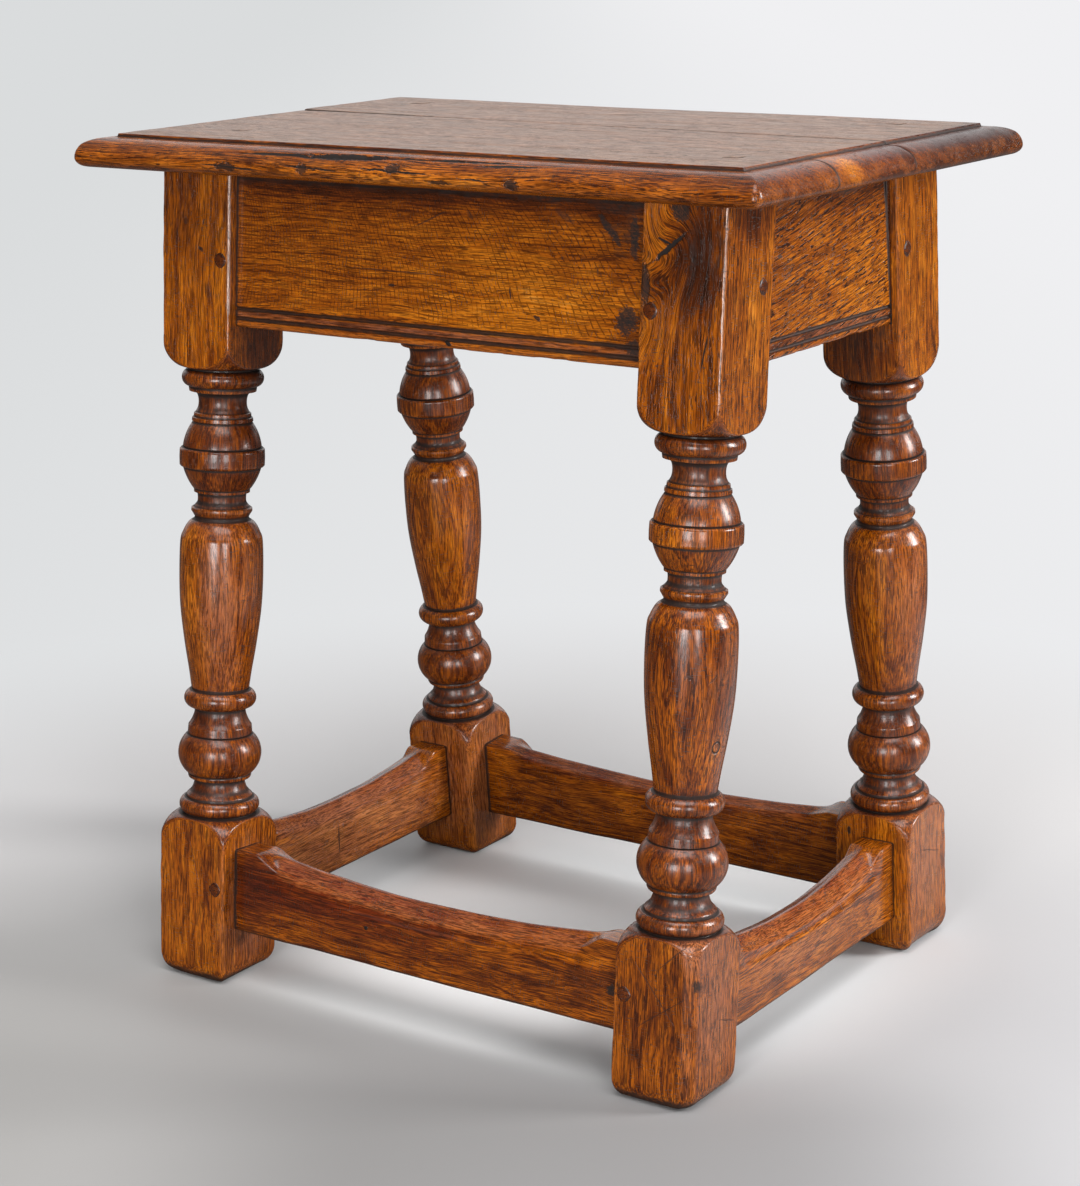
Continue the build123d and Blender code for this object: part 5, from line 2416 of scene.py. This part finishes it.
LEGS = (
    Leg(
        Corner.FRONT_LEFT,
        Oak(
            "oak front left leg",
            pith=(0, 10, 70),
            coat=0.1,
            marks=(
                Mark((464, -7.6), (469, -7.6), 2, Harm.SHADE, FACE_FRONT),
                Mark((452, 2), (449, 6), 1.2, Harm.STAIN, FACE_FRONT, 0.8),
                Mark((88, -2), (62, 6), 0.35, Harm.SCRATCH, FACE_FRONT),
            ),
        ),
        mark_shift=3.4,
        rubbed_and_glint=(412.0, 2.0),
        foot_round=(8.0, 9.0, 8.0, 12.0),
        clouds=(
            Cloud((480, -14, -26), (36, 16, 9), tone=-0.14),
            Cloud((400, 4, -26), (30, 18, 9), tone=0.02),
            Cloud((450, 22, -26), (44, 8, 8), tone=0.06),
            # Right face of the top block behind the apron: painted shade.
            Cloud((430, 26, 4), (90, 6, 22), tone=-0.3, grime=0.32),
            Cloud((240, -10, -22), (46, 22, 18), tone=0.2),
            Cloud((235, 14, -18), (60, 13, 16), blush=0.5),
            Cloud((56, 0, -26), (40, 24, 9), tone=0.02, red=0.15),
            # Right face of the foot: painted shade, with a bloom.
            Cloud((44, 26, 0), (40, 9, 24), tone=-0.22, grime=0.2, blush=0.6),
        ),
    ),
    Leg(
        Corner.FRONT_RIGHT,
        Oak(
            "oak front right leg",
            pith=(0, -20, 60),
            coat=0.1,
            pores=0.9,
            nicks=0.14,
            ticks=0.7,
            marks=(
                Mark((464, -18.2), (480, 1.4), 1.5, Harm.CRACK, FACE_FRONT, 0.9),
                Mark((476.5, -16), (473, -6), 0.9, Harm.CRACK, FACE_FRONT, 0.9),
                Mark((499, -7), (486, 1), 6, Harm.STAIN, FACE_FRONT, 1),
                Mark((463, -24.5), (441, -22), 3.2, Harm.GOUGE, FACE_FRONT, 1),
                Mark((442, -20.5), (434, -18.5), 2.8, Harm.GOUGE, FACE_FRONT, 0.9),
                Mark((428.5, 17), (408, 13), 0.5, Harm.CRACK, FACE_FRONT, 0.3),
                Mark((207.2, 22.6, -5.4), (199, 22.4, -5.4), 3.7, Harm.CRACK, FACE_RIGHT, 0.12, 1),
                Mark((244.6, 22.6, -11), (240, 21.6, -15), 0.5, Harm.SCRATCH, FACE_RIGHT),
                Mark((79.8, -12.6), (47.7, 15), 0.4, Harm.SCRATCH, FACE_FRONT, 0.2),
                Mark((78.1, 2.5), (95.2, 20.2), 0.4, Harm.SCRATCH, FACE_FRONT, 0.2),
                Mark((41.6, -10.8), (65.8, 21.6), 0.35, Harm.SCRATCH, FACE_FRONT, 0.2),
                Mark((76, 25, -24), (68, 25.2, -24.4), 1.4, Harm.STAIN, FACE_FRONT, 1),
                Mark((45.9, 4.8), (41.4, 20.7), 0.5, Harm.SCRATCH, FACE_RIGHT, 0.3),
            ),
        ),
        mark_shift=-1.8,
        rubbed_and_glint=(386.0, 1.25),
        foot_arris=(2.0, 8.5, 2.0, 1.6),
        foot_round=(8.0, 9.0, 8.0, 8.0),
        knots=(Knot((478, -8, -26), 15.0, 1.5), Knot((444, -24, -26), 14.0, 1.1)),
        clouds=(
            Cloud((470, 10, -26), (32, 11, 9), tone=-0.42, grime=0.16),
            Cloud((455, 4, -26), (50, 20, 9), tone=-0.12),
            Cloud((484, -15, -26), (12, 9, 9), tone=0.08, red=0.2),
            Cloud((448, -23, -26), (17, 5, 7), grime=0.35, tone=-0.1),
            Cloud((420, -12, -26), (22, 14, 9), tone=0.1),
            Cloud((402, -18, -26), (12, 12, 9), tone=-0.12),
            Cloud((488, 26, 0), (12, 8, 18), tone=-0.3),
            Cloud((430, 26, 6), (36, 8, 10), tone=0.16),
            Cloud((206, -12, -21), (44, 16, 14), tone=0.05),
            Cloud((262, -10, -21), (16, 26, 26), tone=-0.08),
            Cloud((322, -4, -18), (24, 36, 36), tone=0.2),
            Cloud((236, 20, -4), (34, 12, 14), tone=-0.1, grime=0.22, blush=0.3),
            Cloud((203, 22, -5), (10, 10, 10), tone=0.2, blush=0.2),
            Cloud((50, -4, -26), (44, 22, 9), tone=-0.16),
            Cloud((56, 26, 0), (60, 9, 24), blush=0.5),
            Cloud((92, 22, -22), (12, 9, 9), blush=0.6, worn=0.3),
            Cloud((30, 25, -25), (34, 5, 5), worn=0.3, sink=0.6),
        ),
    ),
    Leg(
        Corner.BACK_RIGHT,
        Oak(
            "oak back right leg",
            pith=(0, -60, 40),
            coat=0.1,
            marks=(
                Mark((69.4, -10.4), (58, 17.5), 0.45, Harm.SCRATCH, FACE_RIGHT, 0.3),
                Mark((84, -15.8), (78, -15.8), 1.5, Harm.STAIN, FACE_FRONT),
                Mark((40, 8.6), (35.4, 8.6), 1.5, Harm.STAIN, FACE_FRONT),
            ),
        ),
        mark_shift=-3.3,
        foot_round=(8.0, 14.0, 8.0, 8.0),
        clouds=(
            # Front face of the top block under the right apron: painted shade.
            Cloud((400, 0, -26), (40, 24, 8), tone=-0.26, grime=0.32),
            Cloud((430, 26, 0), (60, 8, 22), tone=0.1),
            Cloud((235, 10, -20), (46, 20, 20), tone=0.14),
            Cloud((240, 20, -8), (60, 12, 16), blush=0.4),
            Cloud((56, 26, 0), (50, 9, 24), blush=0.5, tone=0.05),
            Cloud((60, 8, -26), (40, 7, 8), tone=0.2),
        ),
    ),
    Leg(
        Corner.BACK_LEFT,
        Oak("oak back left leg", pith=(0, -30, 50), coat=0.1),
        mark_shift=1.75,
        clouds=(
            Cloud((230, 10, -20), (70, 24, 24), tone=0.12),
            Cloud((56, 0, -26), (50, 24, 9), tone=-0.06, grime=0.15, blush=0.5),
            Cloud((56, 26, 0), (50, 9, 24), blush=0.9, tone=0.14),
        ),
    ),
)

FRONT_APRON_OAK = Oak(
    "oak front apron",
    pith=(0, 300, -60),
    dash_length=8.0,
    pores=0.8,
    streaks=0.8,
    fleck=0.7,
    marks=(
        Mark((136, 438), (125, 424), 7.5, Harm.STAIN, ON_RAIL, 1.3),
        Mark((139, 420), (132, 412), 5, Harm.STAIN, ON_RAIL, 1.2),
        Mark((138, 490), (104, 491), 4.5, Harm.SHADE, ON_RAIL, 0.8),
        Mark((110, 487), (125.5, 470), 2.4, Harm.STAIN, ON_RAIL, 1.2),
        Mark((133, 488), (134, 462), 3, Harm.STAIN, ON_RAIL, 1.1),
        Mark((-13.7, 471.6), (9.6, 482.3), 0.5, Harm.SCRATCH, ON_RAIL, 0.2),
        Mark((11, 410.5), (15.5, 408), 1.3, Harm.CRACK, ON_RAIL, 0.8),
        Mark((-29.5, 438.9), (-25, 438.5), 1, Harm.GOUGE, ON_RAIL, 0.7),
        Mark((70.5, 429), (75, 426.5), 1.2, Harm.GOUGE, ON_RAIL, 0.7),
        Mark((54, 443.5), (55, 436.5), 0.5, Harm.CRACK, ON_RAIL, 0.4),
        Mark((-60, 447), (20, 446.5), 0.35, Harm.SCRATCH, ON_RAIL, 0.25),
        Mark((24, 484), (28, 478), 1.4, Harm.SHADE, ON_RAIL, 0.8),
        Mark((82, 488), (96, 480), 2.2, Harm.SHADE, ON_RAIL, 0.9),
    ),
)
HIDDEN_APRON_OAK = Oak("oak hidden aprons", pith=(0, 240, -80), depth=-0.08)
RIGHT_APRON_OAK = Oak(
    "oak right apron",
    pith=(0, 260, -60),
    dash_length=6.0,
    dash_width=1.7,
    pores=1.0,
    marks=(
        Mark((90, 409.5), (95.5, 408), 1.5, Harm.CRACK, ON_RAIL, 0.8),
        Mark((-60, 462), (-54, 461), 1, Harm.STAIN, ON_RAIL, 0.6),
    ),
)
APRONS = (
    Apron(
        Side.FRONT,
        FRONT_APRON_OAK,
        setback=6.4,
        clouds=(
            Cloud((66, 430, 19), (62, 28, 20), tone=0.2),
            Cloud((-100, 465, 19), (60, 30, 20), tone=-0.06),
            # Dark band along the top: painted shade under the seat.
            Cloud((-10, 492, 19), (170, 9, 20), tone=-0.42),
            Cloud((128, 478, 19), (18, 22, 20), tone=-0.12, grime=0.25),
            Cloud((134, 420, 19), (10, 16, 20), tone=-0.12, grime=0.25),
            Cloud((0, 413.8, 19), (170, 2.2, 20), tone=-0.25, blush=0.5),
            Cloud((0, 408, 19), (170, 3, 20), red=0.5, tone=0.05),
        ),
    ),
    Apron(Side.BACK, HIDDEN_APRON_OAK, setback=6.4),
    Apron(Side.LEFT, HIDDEN_APRON_OAK),
    Apron(
        Side.RIGHT,
        RIGHT_APRON_OAK,
        slip=True,
        grain_tilt=0.21,
        clouds=(
            # Dark band along the top: painted shade under the seat, with a little dirt.
            Cloud((0, 492, 20), (120, 14, 20), tone=-0.22, grime=0.1),
            Cloud((50, 432, 20), (60, 26, 20), tone=0.1),
            Cloud((0, 413.8, 20), (120, 2.2, 20), tone=-0.25, blush=0.5),
            Cloud((0, 408, 20), (120, 3, 20), red=0.5, tone=0.05),
        ),
    ),
)
SLIP = Slip(APRONS[-1], Oak("oak slip", depth=-0.1, dash_length=9.0))

FOOT_RAIL = {"dash_length": 9.0, "pores": 0.8}
STRETCHERS = (
    Stretcher(
        Side.FRONT,
        Oak(
            "oak front stretcher",
            pith=(0, 60, -70),
            coat=0.1,
            marks=(
                Mark((-41, 55.3), (-38, 55.3), 1.3, Harm.CRACK, ON_RAIL),
                Mark((132, 58), (138, 53), 4, Harm.STAIN, ON_RAIL, 0.9),
            ),
            **FOOT_RAIL,
        ),
        bottom=32.5,
        wear=9.0,
        clouds=(
            Cloud((-60, 66, 14), (80, 14, 20), tone=-0.26, red=0.45),
            Cloud((-130, 58, 14), (34, 30, 20), tone=-0.3, red=0.2),
            Cloud((-20, 50, 14), (60, 14, 20), tone=-0.14, red=0.1),
            Cloud((90, 50, 14), (56, 20, 20), tone=-0.16),
        ),
    ),
    Stretcher(
        Side.RIGHT,
        Oak(
            "oak right stretcher",
            pith=(0, 40, -80),
            marks=(Mark((12.5, 65.0), (16.0, 65.0), 1.4, Harm.STAIN, ON_RAIL),),
            **FOOT_RAIL,
        ),
        bottom=24.5,
        wear=10.0,
        clouds=(
            Cloud((0, 72, 14), (110, 10, 20), red=0.5, tone=0.05, worn=0.2),
            Cloud((-20, 44, 14), (70, 14, 20), blush=0.45, tone=0.1),
        ),
    ),
    Stretcher(Side.BACK, Oak("oak back stretcher", pith=(0, 70, 60), depth=-0.07), wear=7.0),
    Stretcher(
        Side.LEFT,
        Oak(
            "oak left stretcher",
            pith=(0, 70, 60),
            marks=(
                Mark((-18.5, 60.5, -7.2), (-18.5, 39.8, -7.2), 0.5, Harm.CRACK, ON_RAIL, 0.2),
            ),
        ),
        outer_bevel=3.0,
        inner_bevel=7.0,
        clouds=(Cloud((0, 50, -7), (90, 20, 9), tone=0.24, blush=0.9),),
    ),
)

FRONT_BOARD_MARKS = (
    Mark((-108, -152.6, 513), (-45, -152.2, 513.2), 0.9, Harm.CRACK, ON_TOP, 0.3),
    Mark((-64, -152.6, 513.2), (2, -150.6, 514.4), 2.6, Harm.CRACK, ON_TOP, 0.7),
    Mark((-12, -150.8, 514.3), (84, -149.2, 514.8), 1.1, Harm.CRACK, ON_TOP, 0.5),
    Mark((60, -152.4, 512.6), (98, -151.4, 513), 0.9, Harm.CRACK, ON_TOP, 0.6),
    Mark((-122, 505.2), (-105, 504.4), 2.4, Harm.GOUGE, ON_EDGE, 1.1),
    Mark((-62.5, 506.8), (-54, 506), 3.2, Harm.GOUGE, ON_EDGE, 1.1),
    Mark((-1, 509.6), (9, 509), 2.4, Harm.GOUGE, ON_EDGE, 1.1),
    Mark((28, 503.6), (44, 503), 1.3, Harm.GOUGE, ON_EDGE, 0.9),
    Mark((-134, 505.8), (-88, 504), 0.6, Harm.CRACK, ON_EDGE, 0.5),
    Mark((-72, 507.4), (-30, 506.2), 0.5, Harm.CRACK, ON_EDGE, 0.5),
    Mark((-20, 508.4), (30, 507.2), 0.6, Harm.CRACK, ON_EDGE, 0.7),
    Mark((48, 506.4), (70, 505.6), 0.5, Harm.CRACK, ON_EDGE, 0.8),
    Mark((78, 505.4), (88, 503.8), 2.8, Harm.GOUGE, ON_EDGE, 1.1),
    Mark((217.6, -150.8), (220, -150.8), 1.2, Harm.STAIN, ON_TOP, 0.1),
    Mark((-187, -142.9), (-184.2, -142.9), 1.6, Harm.STAIN, ON_TOP),
    Mark((-145.6, -141.5), (-142.8, -141.5), 1.4, Harm.STAIN, ON_TOP),
    Mark((221.4, -48.8, 515.1), (223.8, -48.8, 515.1), 1.1, Harm.CRACK, ON_TOP, 0.2),
)
BACK_BOARD_MARKS = (
    Mark((156, 101), (180, 111), 0.8, Harm.SHADE, ON_TOP, 0.7),
    Mark((-17, 88), (12, 97), 3, Harm.SHADE, ON_TOP, 1),
)
BOARD = {"pores": 0.95, "dash_length": 8.0, "coat_roughness": 0.5}
SEAT = Seat(
    Oak("oak front board", pith=(0, 60, 700), top_coat=0.62, marks=FRONT_BOARD_MARKS, **BOARD),
    Oak("oak back board", pith=(0, 160, 720), top_coat=0.72, marks=BACK_BOARD_MARKS, **BOARD),
    Oak("oak seat patch", pith=(0, 60, 700), dash_length=5.0, depth=-0.1, coat=0.0),
    clouds=(
        Cloud((28, -157, 504), (62, 6, 5), tone=0.34, worn=0.3),
        Cloud((-60, -154, 509), (70, 6, 6), grime=0.2),
        Cloud((225, -56, 510), (16, 13, 12), tone=0.5),
        Cloud((225, -16, 512), (16, 22, 12), tone=-0.06, red=0.3),
        Cloud((225, 80, 512), (16, 70, 12), tone=-0.42, red=0.25),
        Cloud((226, 124, 512), (16, 44, 12), tone=-0.3, grime=0.1),
        Cloud((-150, -150, 514), (90, 8, 8), tone=0.12),
        Cloud((225, -115, 512), (16, 36, 12), tone=-0.14, red=0.2),
    ),
)

SEAT_PEG_OAK = Oak("oak seat pegs", pores=0.5, depth=0.24, coat_roughness=0.5, top_coat=0.45)
PEGS = PegSet(STRETCHERS, Oak("oak pegs", pores=0.4), SEAT_PEG_OAK)


@dataclass
class Stool:
    """The whole stool.

    Args:
        legs: The four legs.
        rails: The aprons, the slip and the stretchers.
        seat: The seat.
        pegs: All the pegs.
    """

    legs: tuple
    rails: tuple
    seat: Seat
    pegs: PegSet

    def make(self) -> None:
        """Build every piece of the stool."""
        for part in (*self.legs, *self.rails, self.seat, self.pegs):
            part.make()


def main() -> None:
    """Build the stool and its studio."""
    logging.basicConfig(level=logging.INFO)
    Stool(LEGS, (*APRONS, SLIP, *STRETCHERS), SEAT, PEGS).make()
    Studio().make()


if __name__ == "__main__":
    main()
